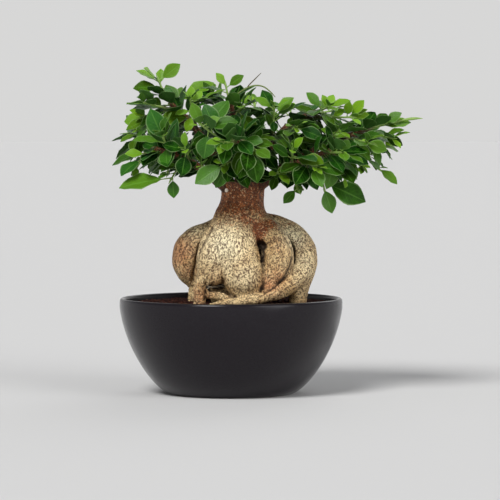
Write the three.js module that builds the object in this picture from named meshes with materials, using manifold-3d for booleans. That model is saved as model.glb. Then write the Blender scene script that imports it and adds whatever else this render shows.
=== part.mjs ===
// A ginseng fig bonsai: a fig tree on swollen roots, planted in a dark glazed bowl.
// Millimetres, +Z up, front towards -Y. The origin is the centre of the bowl's flat base, where it rests.
import * as THREE from "three";
import { mergeVertices } from "three/addons/utils/BufferGeometryUtils.js";
import Module from "manifold-3d";

const wasm = await Module();
wasm.setup();

// Driving dimensions.
const bowlRadius = 111.5;
const bowlHeight = 95.5;
const bowlWall = 5;
const baseRadius = 62;
const gravelTop = 17;
const soilBelowRim = 7;
const soilMound = 2.5;
const stemRadius = 1.4;
const leafLength = 36;
const leafThickness = 0.8;
const fitGap = 0.3;

const bowlFacets = 32;
const rootFacets = 9;
const branchFacets = 6;
const stemFacets = 3;

const glazed = new THREE.MeshStandardMaterial({ color: 0x2b282c, roughness: 0.28, metalness: 0 });
const stones = new THREE.MeshStandardMaterial({ color: 0x8a6a55, roughness: 0.9, metalness: 0 });
const earth = new THREE.MeshStandardMaterial({ color: 0x54291f, roughness: 0.95, metalness: 0 });
const bark = new THREE.MeshStandardMaterial({ color: 0xb8996b, roughness: 0.8, metalness: 0 });
const leafGreen = new THREE.MeshStandardMaterial({ color: 0x3f7a26, roughness: 0.45, metalness: 0 });

const plant = new THREE.Group();
const at = (x, y, z) => new THREE.Vector3(x, y, z);
const radians = THREE.MathUtils.degToRad;

function solidOf(geometry) {
  const bare = new THREE.BufferGeometry().setAttribute("position", geometry.getAttribute("position"));
  const merged = mergeVertices(bare.setIndex(geometry.index), 1e-3);
  const vertProperties = merged.getAttribute("position").array;
  const triVerts = new Uint32Array(merged.index.array);
  return new wasm.Manifold(new wasm.Mesh({ numProp: 3, vertProperties, triVerts }));
}

// The largest body of a solid: loose scraps are dropped, and a hollow that a join seals is filled.
function largestBody(solid) {
  return solid.decompose().sort((a, b) => b.volume() - a.volume())[0];
}

const fuse = (solids) => largestBody(solids.reduce((whole, next) => whole.add(next)));

function addPiece(name, solid, material) {
  const made = solid.getMesh();
  const geometry = new THREE.BufferGeometry();
  geometry.setAttribute("position", new THREE.BufferAttribute(made.vertProperties, 3));
  geometry.setIndex(new THREE.BufferAttribute(made.triVerts, 1));
  geometry.computeVertexNormals();
  const mesh = new THREE.Mesh(geometry, material);
  mesh.name = name;
  plant.add(mesh);
}

// The bowl's side sweeps up from the flat base to the widest line, a little below the rim.
const widestBelowRim = 9.5;
const sideSteps = 6;
const bowlSide = new THREE.CubicBezierCurve(
  new THREE.Vector2(baseRadius, 0),
  new THREE.Vector2(baseRadius + 18, 6),
  new THREE.Vector2(bowlRadius - 4.5, bowlHeight / 2),
  new THREE.Vector2(bowlRadius, bowlHeight - widestBelowRim),
);

// The side set in by a distance, as [radius, height] points going up.
function sideInset(inset) {
  return Array.from({ length: sideSteps + 1 }, (_, i) => {
    const point = bowlSide.getPoint(i / sideSteps);
    const way = bowlSide.getTangent(i / sideSteps);
    return [point.x - way.y * inset, point.y + way.x * inset];
  });
}

// A round body turned about the Z axis, from [radius, height] points that start on the axis below.
function turned(profile) {
  const points = profile.map(([radius, height]) => new THREE.Vector2(radius, height));
  return new THREE.LatheGeometry(points, bowlFacets).rotateX(Math.PI / 2);
}

const lip = [
  [bowlRadius - 0.6, bowlHeight - 2.2],
  [bowlRadius - 2.6, bowlHeight],
  [bowlRadius - bowlWall, bowlHeight - 1.6],
];
const cavity = sideInset(bowlWall).slice(1).reverse();
const bowlFloor = [[baseRadius - 1.2, bowlWall], [0, bowlWall]];
addPiece("pot", solidOf(turned([[0, 0], ...sideInset(0), ...lip, ...cavity, ...bowlFloor])), glazed);

// A layer of ground that fills the bowl between two heights, with a mound and low heaps on top.
const edgeDrop = 2.5;
const topRings = [0.94, 0.66, 0.33, 0];
function ground(low, high, mound, heap) {
  const wall = sideInset(bowlWall + fitGap);
  const radiusAt = (height) => {
    const above = wall.findIndex((point) => point[1] > height);
    const [[r0, z0], [r1, z1]] = [wall[above - 1], wall[above]];
    return r0 + ((r1 - r0) * (height - z0)) / (z1 - z0);
  };
  const edge = high - edgeDrop;
  const rim = radiusAt(edge);
  const between = wall.filter((point) => point[1] > low && point[1] < edge);
  const top = topRings.map((share) => [rim * share, high]);
  const geometry = turned([[0, low], [radiusAt(low), low], ...between, [rim, edge], ...top]);
  const position = geometry.getAttribute("position");
  for (let i = 0; i < position.count; i++) {
    const [x, y] = [position.getX(i), position.getY(i)];
    if (position.getZ(i) < high - edgeDrop / 2) continue;
    const reach = Math.hypot(x, y) / rim;
    position.setZ(i, high + mound * (1 - reach * reach) + heap * Math.sin(x / 9 + 1) * Math.cos(y / 11));
  }
  return solidOf(geometry);
}

function lineThrough(points) {
  return new THREE.CatmullRomCurve3(points.map(([x, y, z]) => at(x, y, z)), false, "catmullrom");
}

function girthThrough(points) {
  const curve = new THREE.CatmullRomCurve3(points.map((point) => at(point[3], 0, 0)), false, "catmullrom");
  return (share) => curve.getPoint(share).x;
}

// The world axis that lies most across a direction.
function crossest(way) {
  const parts = way.toArray().map(Math.abs);
  return at().setComponent(parts.indexOf(Math.min(...parts)), 1);
}

// A root, branch or stem: a turned rod, bent along a smooth line through points of [x, y, z, radius].
// grow makes it that much thicker, and longer at both ends.
function limb(points, facets, rings, grow = 0) {
  const line = lineThrough(points);
  const girth = girthThrough(points);
  const sidePoints = Array.from({ length: rings + 1 }, (_, i) => new THREE.Vector2(1, i / rings));
  const profile = [new THREE.Vector2(0, 0), ...sidePoints, new THREE.Vector2(0, 1)];
  const rod = new THREE.LatheGeometry(profile, facets);
  const position = rod.getAttribute("position");
  const level = crossest(line.getPoint(1).sub(line.getPoint(0)));
  for (let i = 0; i < position.count; i++) {
    const spot = at().fromBufferAttribute(position, i);
    const along = line.getTangent(spot.y);
    const side = level.clone().cross(along).normalize();
    const up = side.clone().cross(along);
    const radius = girth(spot.y) + grow;
    const bent = line.getPoint(spot.y);
    bent.addScaledVector(side, spot.x * radius).addScaledVector(up, spot.z * radius);
    if (spot.y === 0 || spot.y === 1) bent.addScaledVector(along, spot.y ? grow : -grow);
    position.setXYZ(i, bent.x, bent.y, bent.z);
  }
  return solidOf(rod);
}

// The swollen roots under one short neck, each from the neck down into the soil.
const roots = {
  neck: [[12, 0, 213, 23], [11.5, 0, 201, 21.7], [11, 0, 188, 22.5], [10, -1, 173, 27.5], [7, 0, 150, 26],
    [6, 0, 122, 22]],
  core: [[8, 0, 150, 26], [6, 0, 128, 26], [0, 0, 110, 23], [0, 0, 94, 20], [2, 0, 76, 14]],
  left: [[-2, 4, 164, 17], [-19, 4, 159, 14.5], [-34, 2, 150, 17.5], [-40, 2, 138, 19], [-38, 2, 123, 17],
    [-33, 1, 109, 10], [-35, 1, 100, 8], [-36, 0, 88, 7], [-36, 0, 76, 5]],
  bulb: [[6, -3, 180, 21], [2, -12, 165, 23], [-4, -22, 146, 26], [-6, -25, 132, 23], [-6, -27, 120, 13]],
  frontLeft: [[-2, -10, 168, 17], [-9, -22, 155, 18], [-15, -30, 141, 18.5], [-19, -33, 127, 16.5],
    [-25, -34, 115, 10.5], [-30, -34, 106, 7.2], [-31, -34, 97, 6.3], [-31, -34, 87, 6.3],
    [-31, -34, 75, 5]],
  belly: [[-6, -26, 146, 16], [-9, -31, 136, 16], [-13, -35, 126, 14.5], [-16, -36, 118.5, 11.5],
    [-16, -34, 112, 6]],
  frontMiddle: [[8, -12, 168, 17], [8, -22, 156, 18], [9, -31, 142, 18.5], [11, -35, 128, 20],
    [13, -37, 114, 20], [14, -36, 102, 14.5], [15, -34, 92, 9], [15, -32, 80, 7]],
  frontRight: [[20, -4, 172, 15], [35, -13, 160, 15], [45, -22, 146, 16], [46, -25, 131, 16.5],
    [42, -27, 118, 14.5], [35, -29, 107, 11.5], [27, -29, 99, 9], [20, -28, 87, 6]],
  right: [[20, 6, 164, 18], [41, 6, 163, 16], [59, 5, 154, 17.5], [69, 3, 139, 17.3], [70, -2, 122, 14.5],
    [68, -6, 108, 10.5], [67, -8, 97, 9.3], [66, -9, 86, 9], [66, -9, 75, 6.5]],
  sweep: [[70, -6, 126, 12], [65, -18, 117, 11], [55, -30, 109, 9.5], [42, -40, 102.5, 7.8],
    [28, -47, 98, 5.8], [12, -51, 95, 4.4], [-5, -51, 93.5, 3.8], [-22, -49, 89, 3.4]],
  spur: [[-32, -30, 102, 5], [-24, -34, 101, 4.4], [-15, -38, 100, 4.4], [-7, -41, 98.5, 4.2],
    [3, -44, 93, 3.6]],
  backLeft: [[-1, 10, 166, 17], [-15, 22, 157, 16], [-23, 32, 145, 18], [-26, 36, 130, 18],
    [-24, 36, 114, 14], [-22, 36, 100, 9], [-22, 37, 87, 7.5], [-22, 37, 75, 5.5]],
  back: [[9, 12, 168, 17], [8, 26, 158, 15.5], [8, 38, 144, 16], [7, 43, 128, 15], [6, 43, 112, 11],
    [5, 42, 98, 8], [5, 43, 86, 6.5], [5, 43, 75, 5]],
  backRight: [[20, 10, 166, 17], [33, 22, 157, 16], [42, 32, 145, 18], [44, 35, 130, 18], [40, 35, 114, 14],
    [37, 35, 100, 9.5], [37, 36, 87, 8], [37, 36, 75, 5.5]],
  backSweep: [[-40, 10, 118, 9], [-34, 28, 104, 7], [-22, 46, 97, 6], [-6, 54, 94, 5], [12, 56, 92, 4.4],
    [28, 54, 87, 3.6]],
};

// The branches that were grafted round the cut top of the neck. They carry the leafy shoots.
const branches = {
  lowLeft: [[-4, -8, 204, 5], [-24, -20, 222, 4], [-50, -30, 236, 3.2], [-76, -34, 246, 2.2]],
  backLeft: [[-4, 8, 204, 5], [-30, 20, 224, 4], [-58, 28, 242, 3.2], [-84, 24, 256, 2.2]],
  highLeft: [[-2, 0, 206, 5], [-18, 0, 240, 4], [-38, -4, 268, 3.2], [-60, -8, 290, 2.2]],
  front: [[12, -14, 204, 5], [14, -36, 226, 4], [12, -58, 244, 3.2], [6, -76, 256, 2.2]],
  middle: [[8, 0, 208, 5], [8, 0, 240, 4], [4, -8, 268, 3.2], [0, -14, 290, 2.2]],
  lowRight: [[24, -8, 204, 5], [48, -24, 220, 4], [74, -40, 234, 3.2], [98, -50, 244, 2.2]],
  longRight: [[26, 0, 206, 5.5], [58, -2, 230, 4.4], [94, -6, 250, 3.2], [130, -8, 262, 2.2]],
  highRight: [[18, 4, 208, 5], [36, 6, 242, 4], [58, 4, 268, 3.2], [84, 0, 282, 2.2]],
  backRight: [[24, 8, 204, 5], [50, 28, 222, 4], [78, 42, 240, 3.2], [104, 44, 252, 2.2]],
  back: [[10, 16, 204, 5], [8, 42, 224, 4], [4, 64, 244, 3.2], [-2, 82, 256, 2.2]],
};

const branchRod = (points, grow) => limb(points, branchFacets, 4, grow);
function tree(grow) {
  const below = Object.values(roots).map((points) => limb(points, rootFacets, points.length - 1, grow));
  const above = Object.values(branches).map((points) => branchRod(points, grow));
  return fuse([...below, ...above]);
}

const gravelRise = 0.8;
const soilHeap = 0.6;
addPiece("tree", tree(0), bark);
addPiece("drainage_gravel", ground(bowlWall + fitGap, gravelTop, 0, gravelRise), stones);
const soilLow = gravelTop + gravelRise + fitGap;
const soilBody = ground(soilLow, bowlHeight - soilBelowRim, soilMound, soilHeap);
addPiece("soil", largestBody(soilBody.subtract(tree(fitGap))), earth);

// The leafy shoots: the branch that carries each, how far along it, the shoot's tip, and its leaves.
const shoots = [
  ["highLeft", 1, [-72, -8, 313], 4],
  ["highLeft", 0.9, [-84, -26, 290], 4],
  ["highLeft", 0.7, [-84, -6, 277], 4],
  ["highLeft", 0.6, [-40, -32, 293], 5],
  ["middle", 1, [-5, -14, 307], 4],
  ["backLeft", 1, [-96, -6, 264], 5],
  ["front", 0.72, [-28, -72, 268], 5],
  ["lowLeft", 0.8, [-66, -58, 258], 5],
  ["lowLeft", 1, [-92, -34, 228], 4],
  ["lowLeft", 0.6, [-58, -50, 216], 4],
  ["lowLeft", 0.35, [-28, -56, 228], 4],
  ["lowLeft", 0.5, [-44, -64, 244], 4],
  ["front", 0.45, [-4, -64, 232], 4],
  ["front", 0.85, [-6, -86, 252], 4],
  ["front", 1, [22, -84, 246], 5],
  ["middle", 0.85, [12, -42, 286], 5],
  ["middle", 0.5, [28, -40, 254], 4],
  ["highRight", 0.4, [43, -46, 285], 5],
  ["highRight", 0.6, [64, -46, 266], 5],
  ["lowRight", 0.5, [60, -74, 244], 4],
  ["lowRight", 0.62, [82, -76, 228], 4],
  ["lowRight", 0.3, [46, -62, 222], 4],
  ["lowRight", 0.42, [66, -48, 206], 4],
  ["lowRight", 0.78, [92, -46, 206], 4],
  ["lowRight", 1, [112, -44, 218], 4],
  ["highRight", 1, [96, -24, 286], 5],
  ["highRight", 0.85, [118, -30, 276], 5],
  ["longRight", 0.6, [104, -46, 262], 5],
  ["longRight", 0.8, [132, -58, 252], 5],
  ["lowRight", 0.9, [108, -78, 242], 5],
  ["longRight", 1, [154, -12, 270], 4],
  ["longRight", 0.95, [158, -30, 256], 4],
  ["longRight", 0.9, [152, 6, 248], 4],
  ["longRight", 0.76, [146, -14, 226], 4],
  ["longRight", 0.7, [128, -32, 228], 4],
  ["highLeft", 0.8, [-56, 32, 290], 5],
  ["middle", 0.8, [-20, 26, 296], 4],
  ["highRight", 0.3, [24, 32, 288], 5],
  ["highRight", 0.7, [60, 36, 284], 4],
  ["highRight", 0.92, [98, 28, 282], 5],
  ["backLeft", 0.9, [-90, 40, 258], 5],
  ["backLeft", 0.8, [-82, 58, 236], 4],
  ["backLeft", 0.6, [-52, 68, 254], 4],
  ["back", 1, [-12, 90, 256], 5],
  ["back", 0.6, [-30, 72, 230], 4],
  ["back", 0.9, [26, 86, 240], 4],
  ["backRight", 0.6, [56, 76, 254], 4],
  ["backRight", 0.8, [84, 72, 234], 4],
  ["backRight", 1, [118, 56, 252], 5],
  ["longRight", 0.84, [138, 36, 238], 4],
  ["back", 0.4, [30, 56, 270], 4],
  ["backLeft", 0.65, [-64, 40, 222], 4],
  ["backRight", 0.45, [56, 56, 220], 4],
];

// A stem bows a little: outwards under its weight where it rises, and up where it hangs.
const stemBow = 0.2;
const stems = shoots.map(([branch, share, [x, y, z]]) => {
  const base = lineThrough(branches[branch]).getPoint(share);
  const middle = base.clone().lerp(at(x, y, z), 0.5);
  middle.z -= stemBow * (z - base.z);
  return new THREE.QuadraticBezierCurve3(base, middle, at(x, y, z));
});

// A leaf: a stalk and a blade that widens, then narrows to a point. It folds at its midrib and arches over.
const stalkShare = 0.2;
const stalkHalfWidth = 0.8;
const bladeHalfWidth = 0.26;
const bladeLean = 1.05;
const bladeFullness = 0.8;
const bladeFold = 0.22;

// A place on a leaf: u runs across it from -1 to 1, and v along it from 0 at the stalk's root to 1.
function leafSpot({ root, along, across, facing, length, wide, arch }, u, v) {
  const share = Math.max(0, (v - stalkShare) / (1 - stalkShare));
  const widest = length * wide * bladeHalfWidth;
  const bulge = widest * Math.sin(Math.PI * share ** bladeLean) ** bladeFullness;
  const half = Math.max(stalkHalfWidth, bulge);
  const rise = bladeFold * Math.abs(u) * bulge - arch * length * v * v;
  const spot = root.clone().addScaledVector(along, v * length);
  return spot.addScaledVector(across, u * half).addScaledVector(facing, rise);
}

const leafRows = [
  [0, 0],
  [-1, 0.2], [1, 0.2],
  [-1, 0.48], [0, 0.48], [1, 0.48],
  [-1, 0.78], [1, 0.78],
  [0, 1],
];
const leafFaces = [
  [0, 2, 1],
  [1, 2, 4], [1, 4, 3], [2, 5, 4],
  [3, 4, 6], [4, 7, 6], [4, 5, 7],
  [6, 7, 8],
];
const leafRim = [0, 2, 5, 7, 8, 6, 3, 1];
function leafSolid(leaf) {
  const top = leafRows.map(([u, v]) => leafSpot(leaf, u, v).addScaledVector(leaf.facing, leafThickness / 2));
  const under = top.map((spot) => spot.clone().addScaledVector(leaf.facing, -leafThickness));
  const n = top.length;
  const faces = leafFaces.flatMap(([a, b, c]) => [[a, b, c], [c + n, b + n, a + n]]);
  leafRim.forEach((a, i) => {
    const b = leafRim[(i + 1) % leafRim.length];
    faces.push([a, a + n, b + n], [a, b + n, b]);
  });
  const geometry = new THREE.BufferGeometry().setFromPoints([...top, ...under]);
  return solidOf(geometry.setIndex(faces.flat()));
}

// The places that a leaf keeps clear of: the room each needs, and the shoot whose own leaves need less.
const woodRoom = 2.5;
const stemRoom = 4;
const leafRoom = 4.5;
const ownLeafRoom = 2.5;
const taken = [];
const take = (place, room, shoot, ownRoom) => taken.push({ place, room, shoot, ownRoom });
for (const points of [roots.neck.slice(0, 3), ...Object.values(branches)]) {
  const line = lineThrough(points);
  const girth = girthThrough(points);
  const steps = points.length * 6;
  for (let i = 0; i <= steps; i++) take(line.getPoint(i / steps), girth(i / steps) + woodRoom, -1, 0);
}
stems.forEach((stem, shoot) => stem.getPoints(16).forEach((place) => take(place, stemRoom, shoot, 0)));

// Points all over a leaf, which tell whether it has room.
const probes = [[0, 0.12]];
for (const v of [0.25, 0.4, 0.55, 0.7, 0.85, 1]) {
  for (const u of [-0.9, -0.45, 0, 0.45, 0.9]) probes.push([u, v]);
}

// The crown's outline as seen from the front: its top and its underside along x, as [x, z].
const crownTop = [
  [-112, 260], [-104, 290], [-92, 308], [-50, 312], [-20, 315], [12, 313], [34, 304], [70, 291], [86, 298],
  [120, 293], [140, 285], [170, 279], [186, 272],
];
const crownUnderside = [
  [-112, 210], [-85, 214], [-20, 216], [10, 210], [48, 204], [110, 204], [134, 220], [152, 222], [165, 232],
  [174, 254], [186, 270],
];
function heightAt(line, x) {
  const next = line.findIndex((point) => point[0] > x);
  if (next === 0) return line[0][1];
  if (next < 0) return line.at(-1)[1];
  const [[x0, z0], [x1, z1]] = [line[next - 1], line[next]];
  return z0 + ((z1 - z0) * (x - x0)) / (x1 - x0);
}
const inCrown = ({ x, z }) => z < heightAt(crownTop, x) && z > heightAt(crownUnderside, x);

function hasRoom(spots, root, shoot) {
  const near = taken.filter(({ place }) => place.distanceTo(root) < 2 * leafLength);
  return near.every(({ place, room, shoot: owner, ownRoom }) => {
    const needed = owner === shoot ? ownRoom : room;
    return spots.every((spot) => spot.distanceTo(place) > needed);
  });
}

// Gives a leaf its room and returns it, or returns null where it has none or would leave its bounds.
function keepLeaf(leaf, shoot, inBounds) {
  const spots = probes.map(([u, v]) => leafSpot(leaf, u, v));
  if (!spots.every(inBounds) || !hasRoom(spots, leaf.root, shoot)) return null;
  spots.forEach((spot) => take(spot, leafRoom, shoot, ownLeafRoom));
  return leafSolid(leaf);
}

// The leaves that show best from the front: where the blade's base and tip are as seen from there [x, z, x, z],
// and how far its face is open to the front. Over 1 it is wider too.
const frontLeaves = [
  [-70, 317, -51, 329, 0.95], [-75, 317, -93, 324, 0.35], [-75, 317, -84, 326, 0.5],
  [-73, 318, -70, 325, 0.5], [-76, 305, -97, 306, 0.7], [-75, 308, -58, 302, 0.9],
  [-72, 292, -101, 291, 0.3], [-66, 283, -97, 287, 0.3], [-95, 276, -100, 284, 0.6],
  [-88, 275, -108, 273, 0.75], [-88, 273, -105, 265, 0.4], [-82, 274, -67, 251, 1.2],
  [-88, 264, -111, 253, 0.3], [-81, 257, -89, 249, 0.3], [-44, 275, -71, 275, 0.7],
  [-33, 284, -55, 280, 0.5], [-33, 280, -44, 262, 0.95], [-28, 269, -11, 276, 0.75],
  [-23, 269, 7, 273, 0.6], [-26, 280, -3, 294, 0.4], [-31, 273, -26, 283, 0.4],
  [-54, 293, -19, 313, 0.5], [-47, 293, -13, 297, 0.1], [-32, 302, -7, 306, 0.15],
  [-36, 299, -39, 307, 0.7], [-36, 299, -29, 303, 0.6], [-8, 308, -14, 320, 0.7],
  [-1, 308, 12, 318, 0.7], [-11, 295, 5, 305, 0.5], [26, 290, 8, 296, 0.5], [-6, 281, 11, 284, 0.7],
  [-31, 261, -26, 236, 1.35], [-41, 258, -66, 250, 0.8], [-45, 242, -48, 219, 1.3],
  [-80, 237, -104, 241, 0.6], [-78, 227, -61, 242, 0.9], [-71, 225, -110, 210, 0.4],
  [-61, 220, -56, 197, 1.1], [-13, 231, -35, 212, 0.85], [-5, 229, -3, 213, 1.1],
  [17, 232, -3, 229, 0.8], [12, 240, 38, 238, 0.45], [11, 255, 31, 253, 0.8], [42, 288, 24, 296, 0.5],
  [45, 289, 31, 303, 1.0], [43, 288, 61, 296, 0.6], [46, 282, 63, 290, 0.5], [41, 277, 43, 262, 1.2],
  [54, 269, 81, 273, 0.5], [91, 274, 64, 288, 0.4], [89, 288, 76, 301, 0.6], [97, 290, 91, 298, 0.7],
  [98, 290, 102, 299, 0.7], [100, 290, 107, 294, 0.6], [107, 291, 118, 294, 0.4],
  [123, 283, 131, 293, 0.75], [122, 283, 117, 291, 0.7], [100, 277, 113, 284, 0.7],
  [124, 270, 137, 280, 0.6], [119, 264, 90, 266, 0.5], [148, 276, 169, 281, 0.7],
  [145, 269, 179, 273, 0.45], [125, 265, 134, 252, 0.6], [119, 252, 137, 234, 0.9],
  [130, 257, 153, 244, 1.1], [116, 252, 94, 238, 1.2], [151, 257, 170, 249, 0.8],
  [148, 230, 166, 211, 0.4], [61, 237, 63, 255, 1.0], [61, 236, 90, 233, 0.5], [68, 222, 91, 223, 0.35],
  [64, 227, 45, 218, 0.7], [69, 218, 69, 201, 1.25], [69, 205, 52, 192, 0.9], [91, 208, 100, 182, 0.8],
  [98, 215, 133, 194, 0.85], [24, 242, 38, 238, 0.6], [72, 261, 90, 257, 0.7], [26, 217, 42, 219, 0.7],
];
const lowestFrontLeaf = 0.3;
const frontLeafSteps = 14;
const frontLeans = [-5, -11, 1, -17, 7, -23, 13, 19];
const frontArch = 0.08;
const lastLeaf = 0.98;
const depthCost = 0.1;
const stemPlaces = stems.flatMap((stem, shoot) => (
  Array.from({ length: frontLeafSteps + 1 }, (_, i) => {
    const share = lowestFrontLeaf + ((lastLeaf - lowestFrontLeaf) * i) / frontLeafSteps;
    return { shoot, root: stem.getPoint(share) };
  })
));
const leavesOf = shoots.map(() => []);

// Each grows from the free place on a stem nearest to its base, at the first depth where it has room.
for (const [baseX, baseZ, tipX, tipZ, opening] of frontLeaves) {
  const farness = ({ root }) => Math.hypot(root.x - baseX, root.z - baseZ) + depthCost * root.y;
  const nearest = stemPlaces.reduce((best, place) => (farness(place) < farness(best) ? place : best));
  const { shoot, root } = nearest;
  const open = Math.min(opening, 1);
  const wide = Math.max(1, opening);
  for (const lean of frontLeans) {
    const reach = at(tipX, root.y + lean, tipZ).sub(root);
    const along = reach.clone().normalize();
    const facing = at(0, -open, 1 - 0.8 * open);
    facing.addScaledVector(along, -facing.dot(along)).normalize();
    const across = along.clone().cross(facing);
    const leaf = { root, along, across, facing, length: reach.length(), wide, arch: frontArch };
    const solid = keepLeaf(leaf, shoot, () => true);
    if (solid) {
      leavesOf[shoot].push(solid);
      stemPlaces.splice(stemPlaces.indexOf(nearest), 1);
      break;
    }
  }
}

// One random number after another, each from 0 to 1, and the same ones every time.
let state = 7;
function chance() {
  state = (state * 1664525 + 1013904223) % 4294967296;
  return state / 4294967296;
}

// The other leaves go up a stem in a spiral. Their faces turn up, out of the crown and a little to the front.
const crownMiddle = at(30, 0, 240);
const crownReach = at(147, 110, 70);
const firstLeaf = 0.35;
const spiralStep = radians(137.5);
const wobble = 0.7;
const youngSpread = radians(30);
const oldSpread = radians(72);
const outwardLean = 0.35;
const droop = 0.5;
const towardsLight = at(0, -0.15, 0.8);
const outwardFace = 0.7;
const faceTilt = 0.9;
const flattest = 0.05;
const archSpan = 0.15;

// The share of the full length that a leaf has by chance, and the share that a young one has.
const smallest = 0.82;
const sizeSpan = 0.3;
const youngShare = 0.72;

// Leaf number i of n on a shoot. Where it has no room it turns on round the stem, and stays smaller.
const tries = 9;
const retryTurn = radians(40);
const retryShrink = 0.94;
function growLeaf(stem, shoot, roll, i, n) {
  const [swing, size, sag, lean, nod, bend] = Array.from({ length: 6 }, chance);
  const age = 1 - i / (n - 1);
  const share = firstLeaf + (lastLeaf - firstLeaf) * (1 - age);
  const root = stem.getPoint(share);
  const way = stem.getTangent(share);
  const side = crossest(stem.v2.clone().sub(stem.v0)).cross(way).normalize();
  const up = side.clone().cross(way);
  const outward = root.clone().sub(crownMiddle).divide(crownReach);
  const spread = youngSpread + (oldSpread - youngSpread) * age;
  for (let attempt = 0; attempt < tries; attempt++) {
    const turn = roll + i * spiralStep + (swing - 0.5) * wobble + attempt * retryTurn;
    const grown = youngShare + (1 - youngShare) * age;
    const length = leafLength * (smallest + sizeSpan * size) * grown * retryShrink ** attempt;
    const ray = side.clone().multiplyScalar(Math.cos(turn)).addScaledVector(up, Math.sin(turn));
    const along = way.clone().multiplyScalar(Math.cos(spread)).addScaledVector(ray, Math.sin(spread));
    along.addScaledVector(outward, outwardLean).add(at(0, 0, -droop * sag * age)).normalize();
    const facing = towardsLight.clone().addScaledVector(outward, outwardFace);
    facing.addScaledVector(side, (lean - 0.5) * faceTilt).addScaledVector(way, (nod - 0.5) * faceTilt);
    facing.addScaledVector(along, -facing.dot(along)).normalize();
    const across = along.clone().cross(facing);
    const leaf = { root, along, across, facing, length, wide: 1, arch: flattest + archSpan * bend };
    const solid = keepLeaf(leaf, shoot, inCrown);
    if (solid) return solid;
  }
  return null;
}

shoots.forEach(([branch, , , leaves], shoot) => {
  const stem = stems[shoot];
  const roll = chance() * 2 * Math.PI;
  const rod = limb(stem.getPoints(2).map((point) => [...point, stemRadius]), stemFacets, 2);
  const grown = [...leavesOf[shoot]];
  for (let i = leavesOf[shoot].length; i < leaves; i++) grown.push(growLeaf(stem, shoot, roll, i, leaves));
  const leafy = fuse([rod, ...grown.filter(Boolean)]);
  const clear = largestBody(leafy.subtract(branchRod(branches[branch], fitGap)));
  addPiece(`shoot_${String(shoot + 1).padStart(2, "0")}`, clear, leafGreen);
});

export default plant;
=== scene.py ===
"""A ginseng fig bonsai: a fig tree on swollen roots, planted in a dark glazed bowl."""

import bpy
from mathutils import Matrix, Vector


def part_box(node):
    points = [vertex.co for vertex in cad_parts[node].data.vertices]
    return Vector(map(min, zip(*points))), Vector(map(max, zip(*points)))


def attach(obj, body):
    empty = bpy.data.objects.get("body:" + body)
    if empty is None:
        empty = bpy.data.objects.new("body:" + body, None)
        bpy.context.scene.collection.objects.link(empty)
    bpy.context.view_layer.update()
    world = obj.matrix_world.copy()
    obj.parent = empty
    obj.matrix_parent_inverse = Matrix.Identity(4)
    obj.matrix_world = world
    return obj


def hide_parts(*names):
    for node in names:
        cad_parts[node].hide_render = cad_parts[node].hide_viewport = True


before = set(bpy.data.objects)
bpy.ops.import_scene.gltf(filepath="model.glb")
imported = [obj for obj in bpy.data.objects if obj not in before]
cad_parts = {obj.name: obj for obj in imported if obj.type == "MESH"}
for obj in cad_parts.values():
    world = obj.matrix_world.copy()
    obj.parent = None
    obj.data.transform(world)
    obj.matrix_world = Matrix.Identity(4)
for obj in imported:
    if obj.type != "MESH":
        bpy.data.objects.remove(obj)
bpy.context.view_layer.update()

import math

import bmesh
import bpy
import numpy as np
from mathutils import Matrix, Vector, noise
from mathutils.bvhtree import BVHTree

# The bowl: thrown stoneware with one round wall that sweeps up from a flat foot to a soft lip.
# It is dipped in a dark charcoal glaze, fired satin to glossy, and its foot is left bare.
mm = 0.001
bowl_radius = 111.5 * mm
bowl_height = 95.5 * mm
bowl_wall = 5 * mm
foot_radius = 62 * mm
foot_round = 1.2 * mm
foot_lift = 0.45 * mm
foot_flare = 18 * mm
flare_height = 6 * mm
belly_inset = 4.5 * mm
widest_height = bowl_height - 9.5 * mm
lip_half = bowl_wall / 2
lip_rise = 3 * mm
side_steps = 26
lip_steps = 8
bowl_facets = 128
glaze_deep = (0.008, 0.0055, 0.0085)
glaze_speck = (0.014, 0.012, 0.015)
# Painted highlight: the paler glaze colour on the lip stands for a bright line of light along the rim.
glaze_lip_highlight = (0.02, 0.017, 0.018)
clay_dark = (0.13, 0.085, 0.06)
clay_pale = (0.2, 0.14, 0.1)
clay_rough = 0.85
glaze_rough = 0.17, 0.25


def bowl_side(share, inset=0.0):
    """A point (radius, height) on the bowl's side, from the foot at 0 to the widest line at 1.
    inset moves it into the wall."""
    knots = [
        Vector((foot_radius, 0)),
        Vector((foot_radius + foot_flare, flare_height)),
        Vector((bowl_radius - belly_inset, bowl_height / 2)),
        Vector((bowl_radius, widest_height)),
    ]
    rest = 1 - share
    point = rest**3 * knots[0] + 3 * rest**2 * share * knots[1]
    point += 3 * rest * share**2 * knots[2] + share**3 * knots[3]
    way = rest**2 * (knots[1] - knots[0]) + 2 * rest * share * (knots[2] - knots[1])
    way = (way + share**2 * (knots[3] - knots[2])).normalized()
    return Vector((point.x - way.y * inset, point.y + way.x * inset))


def turned(outline):
    """A round body, spun from an outline of (radius, height) points that starts and ends on the axis."""
    bm = bmesh.new()
    verts = [bm.verts.new((radius, 0, height)) for radius, height in outline]
    edges = [bm.edges.new(pair) for pair in zip(verts, verts[1:])]
    round_z = {"cent": (0, 0, 0), "axis": (0, 0, 1), "angle": math.tau, "steps": bowl_facets}
    bmesh.ops.spin(bm, geom=verts + edges, use_merge=True, **round_z)
    bmesh.ops.remove_doubles(bm, verts=bm.verts, dist=1e-6)
    bmesh.ops.recalc_face_normals(bm, faces=bm.faces)
    return bm


def mesh_of(name, bm):
    """Turns a bmesh into a mesh."""
    mesh = bpy.data.meshes.new(name)
    bm.to_mesh(mesh)
    bm.free()
    return mesh


def place_in_scene(name, data):
    """A new object for a mesh, a lamp or a camera."""
    thing = bpy.data.objects.new(name, data)
    bpy.context.scene.collection.objects.link(thing)
    return thing


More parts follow.
